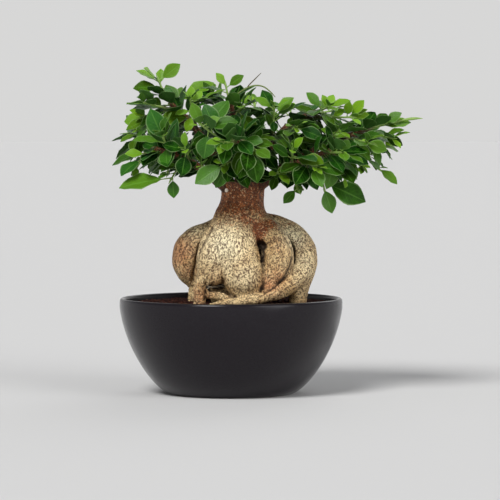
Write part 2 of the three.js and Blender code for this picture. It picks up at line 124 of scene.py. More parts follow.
def settle(name, bm, materials, nodes, sharp=math.radians(60)):
    """Makes the bmesh a smooth-shaded piece that stands for its nodes and rides on the body."""
    mesh = mesh_of(name, bm)
    mesh.shade_smooth()
    mesh.set_sharp_from_angle(angle=sharp)
    for material in materials:
        mesh.materials.append(material)
    piece = place_in_scene(name, mesh)
    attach(piece, "root")
    if nodes:
        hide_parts(*nodes)
    return piece


def new_finish(name):
    """A new material, its node tree, its shader and the Object coordinates that its patterns read."""
    material = bpy.data.materials.new(name)
    material.use_nodes = True
    tree = material.node_tree
    where = tree.nodes.new("ShaderNodeTexCoord").outputs["Object"]
    return material, tree, tree.nodes["Principled BSDF"], where


def feed(tree, socket, value):
    """Links an input to another node's socket, or sets it to a number or to a colour's linear (r, g, b)."""
    if isinstance(value, bpy.types.NodeSocket):
        tree.links.new(value, socket)
    else:
        socket.default_value = (*value, 1.0) if isinstance(value, tuple) else value


def set_up(tree, node, **inputs):
    """Feeds a node's inputs, each by its name with _ for a space."""
    for name, value in inputs.items():
        feed(tree, node.inputs[name.replace("_", " ")], value)


def put(tree, kind, settings=(), **inputs):
    """Adds a node with its settings and inputs."""
    node = tree.nodes.new("ShaderNode" + kind)
    for name, value in dict(settings).items():
        setattr(node, name, value)
    set_up(tree, node, **inputs)
    return node


def kept(tree, name):
    """A number that the mesh holds at each vertex."""
    return put(tree, "Attribute", {"attribute_name": name}).outputs["Fac"]


def cloud(tree, where, grain, detail=3.0, rough=0.55):
    """Soft random noise from 0 to 1, with the grain size in metres."""
    made = put(tree, "TexNoise", Vector=where, Scale=1 / grain, Detail=detail, Roughness=rough)
    return made.outputs["Fac"]


def between(tree, value, low, high, to_low=0.0, to_high=1.0):
    """Maps value smoothly from the span low..high to to_low..to_high, and holds it there outside."""
    ends = {"From_Min": low, "From_Max": high, "To_Min": to_low, "To_Max": to_high}
    return put(tree, "MapRange", {"interpolation_type": "SMOOTHSTEP"}, Value=value, **ends).outputs["Result"]


def sums(tree, operation, first, second=0.5, third=0.5):
    """One step of arithmetic on sockets or numbers."""
    made = put(tree, "Math", {"operation": operation})
    for socket, value in zip(made.inputs, (first, second, third)):
        feed(tree, socket, value)
    return made.outputs[0]


def mingle(tree, share, first, second):
    """Mixes two colours, each a socket or a linear (r, g, b), by a share from 0 to 1."""
    made = put(tree, "Mix", {"data_type": "RGBA"})
    for index, value in ((0, share), (6, first), (7, second)):
        feed(tree, made.inputs[index], value)
    return made.outputs[2]


def emboss(tree, shader, height, depth):
    """Raises the surface by a height pattern, with depth in metres."""
    set_up(tree, shader, Normal=put(tree, "Bump", Height=height, Distance=depth).outputs["Normal"])


def charcoal_glaze():
    """Deep, dark glaze with faint specks and a painted highlight along the lip, over clay left bare under the
    foot.
    """
    material, tree, shader, where = new_finish("charcoal_glaze")
    specks = cloud(tree, where, 0.9 * mm, detail=2)
    glaze = mingle(tree, between(tree, specks, 0.35, 0.75), glaze_deep, glaze_speck)
    height = put(tree, "SeparateXYZ", Vector=where).outputs["Z"]
    # Painted highlight: the top of the lip is painted paler, as a bright line along the rim.
    lip_highlight_share = between(tree, height, bowl_height - 1.6 * mm, bowl_height)
    glaze = mingle(tree, lip_highlight_share, glaze, glaze_lip_highlight)
    clay = mingle(tree, cloud(tree, where, 3 * mm), clay_dark, clay_pale)
    glazed = between(tree, height, 0.2 * mm, 0.7 * mm)
    gloss = between(tree, cloud(tree, where, 14 * mm), 0.3, 0.7, *glaze_rough)
    rough = sums(tree, "MULTIPLY_ADD", glazed, sums(tree, "SUBTRACT", gloss, clay_rough), clay_rough)
    set_up(tree, shader, Base_Color=mingle(tree, glazed, clay, glaze), Roughness=rough)
    set_up(tree, shader, Specular_IOR_Level=0.26, Sheen_Weight=0.1, Sheen_Roughness=0.32)
    emboss(tree, shader, cloud(tree, where, 11 * mm, detail=1), 0.05 * mm)
    return material


outer = [bowl_side(i / side_steps) for i in range(1, side_steps + 1)]
inner = [bowl_side(i / side_steps, bowl_wall) for i in range(side_steps, 0, -1)]
lip = []
for i in range(lip_steps + 1):
    turn = math.pi * i / lip_steps
    lip_radius = bowl_radius - lip_half + lip_half * math.cos(turn)
    lip.append((lip_radius, bowl_height - lip_rise + lip_rise * math.sin(turn)))
foot = [(0, 0), (foot_radius - foot_round, 0), (foot_radius + foot_round, foot_lift)]
bowl_floor = [(foot_radius - foot_round, bowl_wall), (0, bowl_wall)]

bowl = turned(foot + [tuple(p) for p in outer] + lip + [tuple(p) for p in inner] + bowl_floor)
settle("glazed_bowl", bowl, [charcoal_glaze()], ["pot"])

# The drainage layer: rounded, broken stones, poured loose on the bowl's floor under the soil.
# They only rest on each other and on the bowl.
pebble_radius = 4.2 * mm
pebble_pitch = 8.6 * mm
pebble_layers = 2
layer_lift, layer_rise = 1.05, 1.35
layer_inset, layer_widening = 14 * mm, 6 * mm
least_stretch, most_stretch = 0.75, 1.15
loose_push = 0.25
stone_edge = math.radians(20)
stone_brown = (0.16, 0.08, 0.05)
stone_dusty = (0.34, 0.25, 0.18)
gravel_low, gravel_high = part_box("drainage_gravel")

draws = np.random.default_rng(11)


def heap(template, places):
    """Copies of a template mesh, one in each place, a matrix that also turns and sizes it."""
    bm = bmesh.new()
    for _ in places:
        bm.from_mesh(template)
    bm.verts.ensure_lookup_table()
    count = len(template.vertices)
    for index, place in enumerate(places):
        for vertex in bm.verts[index * count : (index + 1) * count]:
            vertex.co = place @ vertex.co
    return bm


def lying_stone(x, y, z, radius):
    """A matrix that sizes, stretches and turns a stone at random, and puts it in its place."""
    stretch = [radius * draws.uniform(least_stretch, most_stretch) for _ in range(3)]
    turn = Matrix.Rotation(draws.uniform(0, math.tau), 4, Vector(draws.normal(size=3)).normalized())
    return Matrix.Translation((x, y, z)) @ turn @ Matrix.Diagonal((*stretch, 1))


def disc_places(radius, pitch):
    """Places on a round layer: a loose hexagonal grid, pushed about at random."""
    steps = int(radius / pitch) + 1
    for row in range(-steps, steps + 1):
        for column in range(-steps, steps + 1):
            x = (column + 0.5 * (row % 2) + draws.uniform(-loose_push, loose_push)) * pitch
            y = (row * math.sqrt(0.75) + draws.uniform(-loose_push, loose_push)) * pitch
            if math.hypot(x, y) < radius:
                yield x, y


def broken_stone():
    """Reddish-brown stones with paler, dusty patches."""
    material, tree, shader, where = new_finish("broken_stone")
    patches = cloud(tree, where, 9 * mm)
    stone = mingle(tree, between(tree, patches, 0.35, 0.65), stone_brown, stone_dusty)
    set_up(tree, shader, Base_Color=stone, Roughness=0.9)
    emboss(tree, shader, cloud(tree, where, 1.2 * mm), 0.3 * mm)
    return material


# One stone's form, a ball of few faces. Its copies are stretched and turned, so that no two are alike.
bm = bmesh.new()
bmesh.ops.create_icosphere(bm, subdivisions=1, radius=1)
stone_form = mesh_of("stone_form", bm)
pebbles = []
for layer in range(pebble_layers):
    level = gravel_low.z + pebble_radius * (layer_lift + layer_rise * layer)
    reach = gravel_high.x - layer_inset + layer_widening * layer - pebble_radius
    for x, y in disc_places(reach, pebble_pitch):
        pebbles.append(lying_stone(x, y, level, pebble_radius))
stones = heap(stone_form, pebbles)
settle("drainage_stones", stones, [broken_stone()], ["drainage_gravel"], stone_edge)

# The soil: a granular reddish-brown bonsai mix that fills the bowl to just under its lip.
# It is pressed round the roots by hand, with loose crumbs of baked clay and bark lying on top.
soil_gap = 0.3 * mm
soil_edge = 86 * mm
soil_top = 88.5 * mm
soil_mound = 2.5 * mm
soil_heap, heap_width, heap_depth = 0.6 * mm, 9 * mm, 11 * mm
soil_lump, soil_lump_size = 0.8 * mm, 7 * mm
soil_rings = 26
crumb_radius = 1.75 * mm
crumb_pitch = 3.5 * mm
least_crumb, most_crumb, crumb_lift = 0.55, 1.15, 0.25
soil_maroon = (0.016, 0.004, 0.0028)
soil_brown = (0.058, 0.014, 0.009)
soil_tan = (0.11, 0.048, 0.028)
soil_fine_dark = (0.007, 0.0025, 0.002)
soil_low, soil_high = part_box("soil")


def ramp(value, low, high):
    """How far a value has come on its way from low to high, from 0 to 1."""
    return np.clip((value - low) / (high - low), 0, 1)


def soil_height(x, y):
    """The soil's level: a low mound with soft heaps, dropping a little against the bowl's wall."""
    reach = min(1.0, math.hypot(x, y) / soil_high.x)
    mound = soil_mound * (1 - reach * reach)
    heaps = soil_heap * math.sin(x / heap_width + 1) * math.cos(y / heap_depth)
    lumps = soil_lump * noise.noise(Vector((x, y, 0)) / soil_lump_size)
    drop = (soil_top - soil_edge) * ramp(reach, 0.9, 1.0) ** 1.5
    return soil_top + mound + heaps + lumps - drop


def soil_mix():
    """Crumbs from maroon to tan, darkened in fine random specks."""
    material, tree, shader, where = new_finish("soil_mix")
    crumbs = put(tree, "TexVoronoi", Vector=where, Scale=1 / (3.2 * mm)).outputs
    shade = put(tree, "SeparateColor", Color=crumbs["Color"]).outputs["Red"]
    colour = mingle(tree, between(tree, shade, 0.1, 0.9), soil_maroon, soil_brown)
    colour = mingle(tree, between(tree, shade, 0.84, 0.96), colour, soil_tan)
    fine = cloud(tree, where, 0.9 * mm)
    # Fine random noise darkens the soil in specks.
    colour = mingle(tree, between(tree, fine, 0.35, 0.6, 0.75, 0), colour, soil_fine_dark)
    set_up(tree, shader, Base_Color=colour, Roughness=0.93, Specular_IOR_Level=0.15)
    emboss(tree, shader, fine, 0.4 * mm)
    return material


soil_finish = soil_mix()
wall = [bowl_side(i / side_steps, bowl_wall + soil_gap) for i in range(side_steps + 1)]
wall = [tuple(p) for p in wall if soil_low.z + mm < p.y < soil_edge - mm]
low_radius = wall[0][0] - mm
rim_radius = wall[-1][0] + 0.2 * mm
top = [(rim_radius * (1 - i / soil_rings), soil_top) for i in range(soil_rings + 1)]
bed = turned([(0, soil_low.z), (low_radius, soil_low.z)] + wall + [(rim_radius, soil_edge)] + top)
for vertex in bed.verts:
    if vertex.co.z > soil_edge - 0.1 * mm:
        vertex.co.z = soil_height(vertex.co.x, vertex.co.y)
settle("soil_bed", bed, [soil_finish], ["soil"])

crumbs = []
for x, y in disc_places(rim_radius - crumb_radius, crumb_pitch):
    size = crumb_radius * draws.uniform(least_crumb, most_crumb)
    crumbs.append(lying_stone(x, y, soil_height(x, y) + crumb_lift * size, size))
settle("soil_crumbs", heap(stone_form, crumbs), [soil_finish], [], stone_edge)

# The roots and neck: years of growth have swollen the roots into smooth bulbs, which crowd under
# one short neck, part into legs and dive into the soil. Their bark is thin, cream and full of flecks.

# Each limb as points of [x, y, z, radius] along its middle, in mm.
roots = {
    "neck": [
        [12, 0, 213, 23], [11.5, 0, 201, 21.7], [11, 0, 188, 22.5], [10, -1, 173, 27.5], [7, 0, 150, 26],
        [6, 0, 122, 22],
    ],
    "core": [[8, 0, 150, 26], [6, 0, 128, 26], [0, 0, 110, 23], [0, 0, 94, 20], [2, 0, 76, 14]],
    "left": [
        [-2, 4, 164, 17], [-19, 4, 159, 14.5], [-34, 2, 150, 17.5], [-40, 2, 138, 19], [-38, 2, 123, 17],
        [-33, 1, 109, 10], [-35, 1, 100, 8], [-36, 0, 88, 7], [-36, 0, 76, 5],
    ],
    "bulb": [
        [6, -3, 180, 21], [2, -12, 165, 23], [-4, -22, 146, 26], [-6, -25, 132, 23], [-6, -27, 120, 13],
    ],
    "front_left": [
        [-2, -10, 168, 17], [-9, -22, 155, 18], [-15, -30, 141, 18.5], [-19, -33, 127, 16.5],
        [-25, -34, 115, 10.5], [-30, -34, 106, 7.2], [-31, -34, 97, 6.3], [-31, -34, 87, 6.3],
        [-31, -34, 75, 5],
    ],
    "belly": [
        [-6, -26, 146, 16], [-9, -31, 136, 16], [-13, -35, 126, 14.5], [-16, -36, 118.5, 11.5],
        [-16, -34, 112, 6],
    ],
    "front_middle": [
        [8, -12, 168, 17], [8, -22, 156, 18], [9, -31, 142, 18.5], [11, -35, 128, 20], [13, -37, 114, 20],
        [14, -36, 102, 14.5], [15, -34, 92, 9], [15, -32, 80, 7],
    ],
    "front_right": [
        [20, -4, 172, 15], [35, -13, 160, 15], [45, -22, 146, 16], [46, -25, 131, 16.5],
        [42, -27, 118, 14.5], [35, -29, 107, 11.5], [27, -29, 99, 9], [20, -28, 87, 6],
    ],
    "right": [
        [20, 6, 164, 18], [41, 6, 163, 16], [59, 5, 154, 17.5], [69, 3, 139, 17.3], [70, -2, 122, 14.5],
        [68, -6, 108, 10.5], [67, -8, 97, 9.3], [66, -9, 86, 9], [66, -9, 75, 6.5],
    ],
    "sweep": [
        [70, -6, 126, 12], [65, -18, 117, 11], [55, -30, 109, 9.5], [42, -40, 102.5, 7.8],
        [28, -47, 98, 5.8], [12, -51, 95, 4.4], [-5, -51, 93.5, 3.8], [-22, -49, 89, 3.4],
    ],
    "spur": [
        [-32, -30, 102, 5], [-24, -34, 101, 4.4], [-15, -38, 100, 4.4], [-7, -41, 98.5, 4.2],
        [3, -44, 93, 3.6],
    ],
    "back_left": [
        [-1, 10, 166, 17], [-15, 22, 157, 16], [-23, 32, 145, 18], [-26, 36, 130, 18], [-24, 36, 114, 14],
        [-22, 36, 100, 9], [-22, 37, 87, 7.5], [-22, 37, 75, 5.5],
    ],
    "back": [
        [9, 12, 168, 17], [8, 26, 158, 15.5], [8, 38, 144, 16], [7, 43, 128, 15], [6, 43, 112, 11],
        [5, 42, 98, 8], [5, 43, 86, 6.5], [5, 43, 75, 5],
    ],
    "back_right": [
        [20, 10, 166, 17], [33, 22, 157, 16], [42, 32, 145, 18], [44, 35, 130, 18], [40, 35, 114, 14],
        [37, 35, 100, 9.5], [37, 36, 87, 8], [37, 36, 75, 5.5],
    ],
    "back_sweep": [
        [-40, 10, 118, 9], [-34, 28, 104, 7], [-22, 46, 97, 6], [-6, 54, 94, 5], [12, 56, 92, 4.4],
        [28, 54, 87, 3.6],
    ],
}
root_facets = 28
root_span_rings = 5
root_voxel = 1.1 * mm
skin_smoothing = 4
shoulder_smoothing = 24
shoulder_low, shoulder_high = 158 * mm, 198 * mm

# The skin's relief, in mm: how far it is raised, and how large or far apart its waves are.
lump_height, lump_size = 0.8, 15
furrow_depth, furrow_width, furrow_length = 0.45, 4.5, 38
ring_height, ring_pitch, ring_wander = 0.28, 3.4, 9
ringless_radius, ringed_radius = 13, 8
pit_depth, pit_width, pit_length = 0.16, 1.6, 1.1
fold_in = 0.55
# Painted shade: the bark's colour is darkened where the skin is shut in, in the folds, and at the neck's top
# where the crown shades it.
crease_reach = 16 * mm
fold_shade, most_fold_shade = 0.13, 0.8
top_shade = 0.5
warm_low, warm_high, warm_power = 154, 190, 1.5
shade_low, shade_high = 201, 213

# The bark's colours, and what its finish reads at each vertex besides its grain.
cream_warm, cream_light, cream_pale_and_lit = (0.68, 0.44, 0.185), (0.89, 0.67, 0.35), (0.95, 0.84, 0.55)
blush_red = (0.56, 0.25, 0.1)
russet_dark, russet_light = (0.13, 0.026, 0.006), (0.54, 0.165, 0.045)
fleck_brown = (0.085, 0.034, 0.012)
flake_cream = (0.8, 0.5, 0.25)
# The darkest brown is painted shade, for the creases, the folds and the shaded top of the neck.
painted_shade_brown = (0.02, 0.009, 0.005)
bark_values = "warmth", "blush", "paleness_and_painted_light", "painted_shade"


def through(points, share):
    """A place on the smooth line through points, with share from 0 to 1. A point has any number of values."""
    points = np.asarray(points, float)
    last = len(points) - 1
    run = last * share
    step = min(int(run), last - 1)
    rest = run - step
    before = points[step - 1] if step > 0 else 2 * points[0] - points[1]
    after = points[step + 2] if step + 2 <= last else 2 * points[last] - points[last - 1]
    start, end = points[step], points[step + 1]
    leave, arrive = 0.5 * (end - before), 0.5 * (after - start)
    square = -3 * start + 3 * end - 2 * leave - arrive
    cube = 2 * start - 2 * end + leave + arrive
    return start + leave * rest + square * rest**2 + cube * rest**3


def line_through(points):
    """The smooth line through points of [x, y, z, radius], as a function of share that gives its place."""
    points = np.asarray(points, float)[:, :3]
    return lambda share: through(points, share)


def unit(way):
    """A direction made one long."""
    return way / np.linalg.norm(way)


def line_way(line, share, step=1e-4):
    """The direction of a line, a function of share, at one place."""
    return unit(line(min(1.0, share + step)) - line(max(0.0, share - step)))


def crossest(way):
    """The world axis that lies most across a direction."""
    axis = np.zeros(3)
    axis[int(np.argmin(np.abs(way)))] = 1
    return axis


def rod(bm, points, facets, rings, material=0):
    """A closed round rod in the bmesh, bent along the smooth line through points of [x, y, z, radius] in mm.
    Its UV map runs round it in x and along it in y."""
    line = line_through(points)
    level = crossest(line(1.0) - line(0.0))
    rows = rings + 2
    made = bmesh.ops.create_grid(bm, x_segments=facets, y_segments=rows, size=0.5, calc_uvs=True)["verts"]
    frames = {}
    for vertex in made:
        row = round((vertex.co.y + 0.5) * rows)
        if row not in frames:
            share = min(max(row - 1, 0) / rings, 1.0)
            along = line_way(line, share)
            side = unit(np.cross(level, along))
            radius = 0.0 if row in (0, rows) else through(points, share)[3]
            frames[row] = line(share), side * radius, np.cross(side, along) * radius
        centre, side, up = frames[row]
        turn = math.tau * (vertex.co.x + 0.5)
        vertex.co = (centre + side * math.sin(turn) + up * math.cos(turn)) * mm
    for face in {face for vertex in made for face in vertex.link_faces}:
        face.material_index = material
    bmesh.ops.remove_doubles(bm, verts=made, dist=1e-7)


def rods(lines, facets, span_rings):
    """A bmesh of rods, one along each line, with some rings to each span between two of its points."""
    bm = bmesh.new()
    bm.loops.layers.uv.verify()
    for points in lines:
        rod(bm, points, facets, span_rings * (len(points) - 1))
    bmesh.ops.recalc_face_normals(bm, faces=bm.faces)
    return bm


def limb_stations(limbs, steps=70):
    """Places along every limb: centre, two axes across, direction, distance along and radius, in mm."""
    rows = []
    for points in limbs:
        line = line_through(points)
        level = crossest(line(1.0) - line(0.0))
        gone, before = 0.0, line(0.0)
        for i in range(steps + 1):
            centre = line(i / steps)
            gone += np.linalg.norm(centre - before)
            before = centre
            along = line_way(line, i / steps)
            side = unit(np.cross(level, along))
            radius = through(points, i / steps)[3]
            rows.append(np.concatenate([centre, side, np.cross(side, along), along, [gone, radius]]))
    return np.array(rows)


def mesh_spots(mesh):
    """The places of a mesh's vertices in mm, and their normals."""
    spots = np.empty(len(mesh.vertices) * 3)
    mesh.vertices.foreach_get("co", spots)
    normals = np.empty(len(mesh.vertices) * 3)
    mesh.vertices.foreach_get("normal", normals)
    return spots.reshape(-1, 3) / mm, normals.reshape(-1, 3)


def move_to(mesh, spots):
    """Moves a mesh's vertices to places in mm."""
    mesh.vertices.foreach_set("co", (spots * mm).ravel())
    mesh.update()


def grain_of(spots, limbs):
    """For each spot, its place in the nearest limb's own axes, the last one along it, and its radius."""
    stations = limb_stations(limbs)
    grain = np.empty((len(spots), 3))
    girth = np.empty(len(spots))
    for first in range(0, len(spots), 4000):
        batch = slice(first, first + 4000)
        apart = spots[batch, None, :] - stations[None, :, :3]
        reach = np.sqrt((apart**2).sum(2)) - stations[:, 13]
        row = stations[reach.argmin(1)]
        gap = spots[batch] - row[:, :3]
        for axis in range(3):
            grain[batch, axis] = (gap * row[:, 3 + 3 * axis : 6 + 3 * axis]).sum(1)
        grain[batch, 2] += row[:, 12]
        girth[batch] = row[:, 13]
    return grain, girth


def keep_values(mesh, name, values):
    """Stores one number or one vector for each vertex, for the finish to read."""
    vector = values.ndim == 2
    layer = mesh.attributes.new(name, "FLOAT_VECTOR" if vector else "FLOAT", "POINT")
    layer.data.foreach_set("vector" if vector else "value", values.astype(np.float32).ravel())


def keep_bark(mesh, grain, *values):
    """Stores what the bark reads at each vertex: its grain in mm, and the values in bark_values' order."""
    keep_values(mesh, "grain", grain * mm)
    for name, value in zip(bark_values, values):
        keep_values(mesh, name, value)


def skin_of(mesh):
    """A mesh's surface, for finding places on it."""
    return BVHTree.FromPolygons([v.co for v in mesh.vertices], [tuple(p.vertices) for p in mesh.polygons])


def shut_in(mesh, reach):
    """How far each vertex is shut in by the surface round it, from 0 in the open to 1 deep in a crease."""
    skin = skin_of(mesh)
    up = Vector((0, 0, 1))
    fan = [up]
    for tilt, count in ((35, 5), (62, 7)):
        high, wide = math.cos(math.radians(tilt)), math.sin(math.radians(tilt))
        for i in range(count):
            turn = math.tau * i / count
            fan.append(Vector((wide * math.cos(turn), wide * math.sin(turn), high)))
    shut = np.zeros(len(mesh.vertices))
    for vertex in mesh.vertices:
        turn = up.rotation_difference(vertex.normal)
        start = vertex.co + vertex.normal * 0.2 * mm
        for way in fan:
            distance = skin.ray_cast(start, turn @ way, reach)[3]
            if distance is not None:
                shut[vertex.index] += 1 - distance / reach
    return shut / len(fan)


# Places in the bark's colour: [x, y, z, reach, strength] in mm. The neck is warm and red-brown all over.
warm_places = [
    [28, -22, 163, 13, 1.15],
    [27, -26, 154, 8, 1.1],
    [14, -24, 176, 15, 0.8],
    [40, -22, 172, 13, 0.75],
    [40, -36, 104, 9, 0.5],
]
blush_places = [
    [-54, -10, 143, 22, 1.0],
    [-44, -16, 122, 14, 0.7],
    [46, -36, 150, 13, 0.45],
    [38, -38, 107, 14, 1.1],
    [46, -36, 118, 12, 0.9],
    [-16, -42, 118, 12, 0.5],
    [-31, -38, 100, 13, 0.8],
    [70, -6, 104, 13, 0.5],
    [60, 30, 150, 22, 0.8],
    [-30, 44, 150, 24, 0.8],
    [10, 50, 118, 18, 0.7],
]
# Pale places are partly the bark's own paler cream and partly painted light: the shoulders, which the crown
# shades, are painted paler as if lit.
pale_and_lit_places = [
    [-6, -40, 148, 22, 1.0],
    [-2, -44, 132, 14, 0.6],
    [12, -55, 120, 14, 0.5],
    [62, -14, 158, 18, 0.9],
    [40, -8, 170, 12, 0.6],
    [72, -14, 130, 18, 0.5],
    [-34, -6, 164, 14, 0.6],
    [10, 40, 150, 20, 0.6],
]

# Folds where the limbs press on each other, in mm: each fold's line on the front [x, z], its half width
# and its depth. Hollows: each one's middle [x, z], half width, half height and depth.
front_folds = [
    ([[27.5, 153], [28, 148], [29, 141], [30.5, 134]], 1.6, 4.6),
    ([[30.5, 134], [32, 124], [32, 112], [29, 104]], 1.1, 2.6),
    ([[33, 151], [39, 154], [48, 155], [57, 153]], 2.2, 2.6),
    ([[57, 153], [62, 147], [62, 138], [60, 128], [54, 118], [43, 109], [33, 103]], 1.5, 4.3),
    ([[-19, 168], [-23, 160], [-30, 148], [-34, 135], [-37, 122], [-38, 113]], 1.8, 3.6),
    ([[-11, 129], [-8.5, 121], [-7.5, 112]], 1.5, 2.4),
    ([[-25, 113], [-25, 96]], 1.6, 3.0),
]
front_sharpness, front_limit = 2.5, -4
hollow_places = [[30, 149, 4.4, 4.6, 8.5], [29.5, 142, 2.9, 7.0, 7.5], [-15.5, 107.5, 8.5, 2.9, 11.0]]


def places_of(spots, places):
    """How strongly each spot lies in the nearest of a list of soft, round places."""
    share = np.zeros(len(spots))
    for x, y, z, reach, strength in places:
        apart = ((spots - (x, y, z)) ** 2).sum(1) / reach**2
        share = np.maximum(share, strength * np.exp(-apart))
    return share


def fold_depth(spots, normals):
    """How deep the folds and hollows of the front go at each spot, in mm."""
    depth = np.zeros(len(spots))
    flat = spots[:, [0, 2]]
    for line, half_width, deepest in front_folds:
        nearest = np.full(len(spots), np.inf)
        for start, end in zip(np.array(line[:-1], float), np.array(line[1:], float)):
            way = end - start
            share = np.clip((flat - start).dot(way) / way.dot(way), 0, 1)
            nearest = np.minimum(nearest, ((flat - start - share[:, None] * way) ** 2).sum(1))
        depth = np.maximum(depth, deepest * np.exp(-nearest / half_width**2))
    for x, z, half_width, half_height, deepest in hollow_places:
        apart = ((flat - (x, z)) / (half_width, half_height)) ** 2
        depth = np.maximum(depth, deepest * np.exp(-(apart.sum(1) ** 1.5)))
    front = np.clip(-normals[:, 1] * front_sharpness, 0, 1) * (spots[:, 1] < front_limit)
    return depth * front


def sway(tree, value, pattern, reach):
    """Moves a value up or down by a pattern of noise, by half the reach at most."""
    return sums(tree, "MULTIPLY_ADD", sums(tree, "SUBTRACT", pattern, 0.5), reach, value)


def fig_bark():
    """Thin bark: cream where it has swollen, red-brown where it is old, with short dark flecks all over."""
    material, tree, shader, where = new_finish("fig_bark")
    grain = put(tree, "Attribute", {"attribute_name": "grain"}).outputs["Vector"]
    warmth, blush, paleness_and_painted_light, painted_shade = (kept(tree, name) for name in bark_values)
    patches = cloud(tree, where, 14 * mm, detail=4)
    fine = cloud(tree, grain, 1.9 * mm, detail=2)
    wander = sway(tree, sway(tree, warmth, patches, 0.8), fine, 1.5)
    warm = between(tree, wander, 0.25, 0.75)
    cream = mingle(tree, between(tree, patches, 0.3, 0.7), cream_warm, cream_light)
    # Paler cream: partly the bark's own, and partly painted light on the shaded shoulders.
    cream = mingle(tree, paleness_and_painted_light, cream, cream_pale_and_lit)
    rosy = between(tree, sway(tree, blush, fine, 1.2), 0.1, 1.0, 0, 0.85)
    cream = mingle(tree, rosy, cream, blush_red)
    blotches = cloud(tree, grain, 3.4 * mm, detail=3, rough=0.65)
    russet = mingle(tree, between(tree, blotches, 0.34, 0.66), russet_dark, russet_light)
    bark = mingle(tree, warm, cream, russet)
    lines = put(tree, "TexNoise", Vector=grain, Scale=1 / (3.0 * mm), Detail=2.0, Distortion=0.9)
    lines = sums(tree, "ABSOLUTE", sums(tree, "SUBTRACT", lines.outputs["Fac"], 0.5))
    broken = between(tree, cloud(tree, grain, 2.1 * mm, detail=1), 0.4, 0.52)
    lines = sums(tree, "MULTIPLY", between(tree, lines, 0.03, 0.065, 1, 0), broken)
    dots = between(tree, cloud(tree, grain, 1.6 * mm, detail=2, rough=0.6), 0.55, 0.6)
    fleck = sums(tree, "MAXIMUM", lines, dots)
    bark = mingle(tree, sums(tree, "MULTIPLY", fleck, 0.9), bark, fleck_brown)
    flakes = between(tree, cloud(tree, where, 1.9 * mm, detail=1), 0.6, 0.68, 0, 0.85)
    bark = mingle(tree, sums(tree, "MULTIPLY", flakes, warm), bark, flake_cream)
    # Painted shade: creases, folds, the neck's top and the branches are painted darker brown.
    bark = mingle(tree, between(tree, painted_shade, 0.2, 0.62, 0, 0.94), bark, painted_shade_brown)
    set_up(tree, shader, Base_Color=bark, Roughness=between(tree, patches, 0.3, 0.7, 0.55, 0.75))
    relief = sums(tree, "MULTIPLY_ADD", fleck, -0.8, cloud(tree, grain, 1.3 * mm, detail=4, rough=0.65))
    emboss(tree, shader, relief, 0.5 * mm)
    return material


bark_finish = fig_bark()
root_rods = rods(roots.values(), root_facets, root_span_rings)
limbs = place_in_scene("root_limbs", mesh_of("root_limbs", root_rods))
joining = limbs.modifiers.new("grown_together", "REMESH")
joining.mode = "VOXEL"
joining.voxel_size = root_voxel
grown_limbs = limbs.evaluated_get(bpy.context.evaluated_depsgraph_get())
grown_mesh = bpy.data.meshes.new_from_object(grown_limbs)
bpy.data.objects.remove(limbs)

bm = bmesh.new()
bm.from_mesh(grown_mesh)
smoothing = {"factor": 0.5, "use_axis_x": True, "use_axis_y": True, "use_axis_z": True}
for _ in range(skin_smoothing):
    bmesh.ops.smooth_vert(bm, verts=bm.verts, **smoothing)
shoulder = [vertex for vertex in bm.verts if shoulder_low < vertex.co.z < shoulder_high]
for _ in range(shoulder_smoothing):
    bmesh.ops.smooth_vert(bm, verts=shoulder, **smoothing)
bmesh.ops.recalc_face_normals(bm, faces=bm.faces)
roots_piece = settle("swollen_roots", bm, [bark_finish], ["tree"], math.pi)
bpy.data.meshes.remove(grown_mesh)

roots_mesh = roots_piece.data
spots, normals = mesh_spots(roots_mesh)
grain, girth = grain_of(spots, roots.values())
raised = np.empty(len(spots))
for i, (spot, (across, up, along)) in enumerate(zip(spots, grain)):
    lumps = lump_height * noise.noise(Vector(spot) / lump_size)
    furrow_place = Vector((across / furrow_width, up / furrow_width, along / furrow_length))
    furrows = furrow_depth * noise.noise(furrow_place)
    ringed = ramp(girth[i], ringless_radius, ringed_radius)
    wave = noise.noise(Vector(spot) / ring_wander)
    rings = ring_height * ringed * math.sin(math.tau * (along / ring_pitch + wave))
    pits = pit_depth * noise.noise(Vector((across / pit_width, up / pit_width, along / pit_length)))
    raised[i] = lumps + furrows + rings + pits
folds = fold_depth(spots, normals)
raised -= fold_in * folds
move_to(roots_mesh, spots + normals * raised[:, None] + np.outer((1 - fold_in) * folds, (0, 1, 0)))
height = spots[:, 2]
neck_warmth = ramp(height, warm_low, warm_high) ** warm_power
warmth = np.maximum(neck_warmth, places_of(spots, warm_places))
# Painted shade: how shut in each vertex is, how deep it lies in a fold, and how high it is on the neck's top
# under the crown.
shut = np.maximum(shut_in(roots_mesh, crease_reach), np.minimum(folds * fold_shade, most_fold_shade))
painted_shade = np.maximum(shut, top_shade * ramp(height, shade_low, shade_high))
keep_bark(roots_mesh, grain, warmth, places_of(spots, blush_places), places_of(spots, pale_and_lit_places), painted_shade)

# The rootlets: three pale threads that hang across the mouth of the cavity between the front legs.
# Each is a young root, dry now, and is rooted in the bark at both ends.

# Each one's two ends on the front as [x, z, x, z] and how far it sags, in mm.
rootlet_ends = [[-25.5, 110.5, -5, 107, 1.2], [-24, 106.5, -7, 110, -1], [-21, 109.5, -11, 105.5, 0.6]]
rootlet_radius = 0.45
rootlet_sunk = 1.2
rootlet_bends = 0.35, 0.7
rootlet_cream = (0.92, 0.85, 0.68)


def front_place(skin, x, z):
    """The place on a surface that faces the front at x, z, and its normal, in mm."""
    spot, normal, _, _ = skin.ray_cast(Vector((x * mm, -0.2, z * mm)), Vector((0, 1, 0)))
    return np.array(spot) / mm, np.array(normal)


def plain_finish(name, colour, rough):
    """A material of one colour with a fine grain."""
    material, tree, shader, where = new_finish(name)
    set_up(tree, shader, Base_Color=colour, Roughness=rough)
    emboss(tree, shader, cloud(tree, where, 1 * mm), 0.15 * mm)
    return material


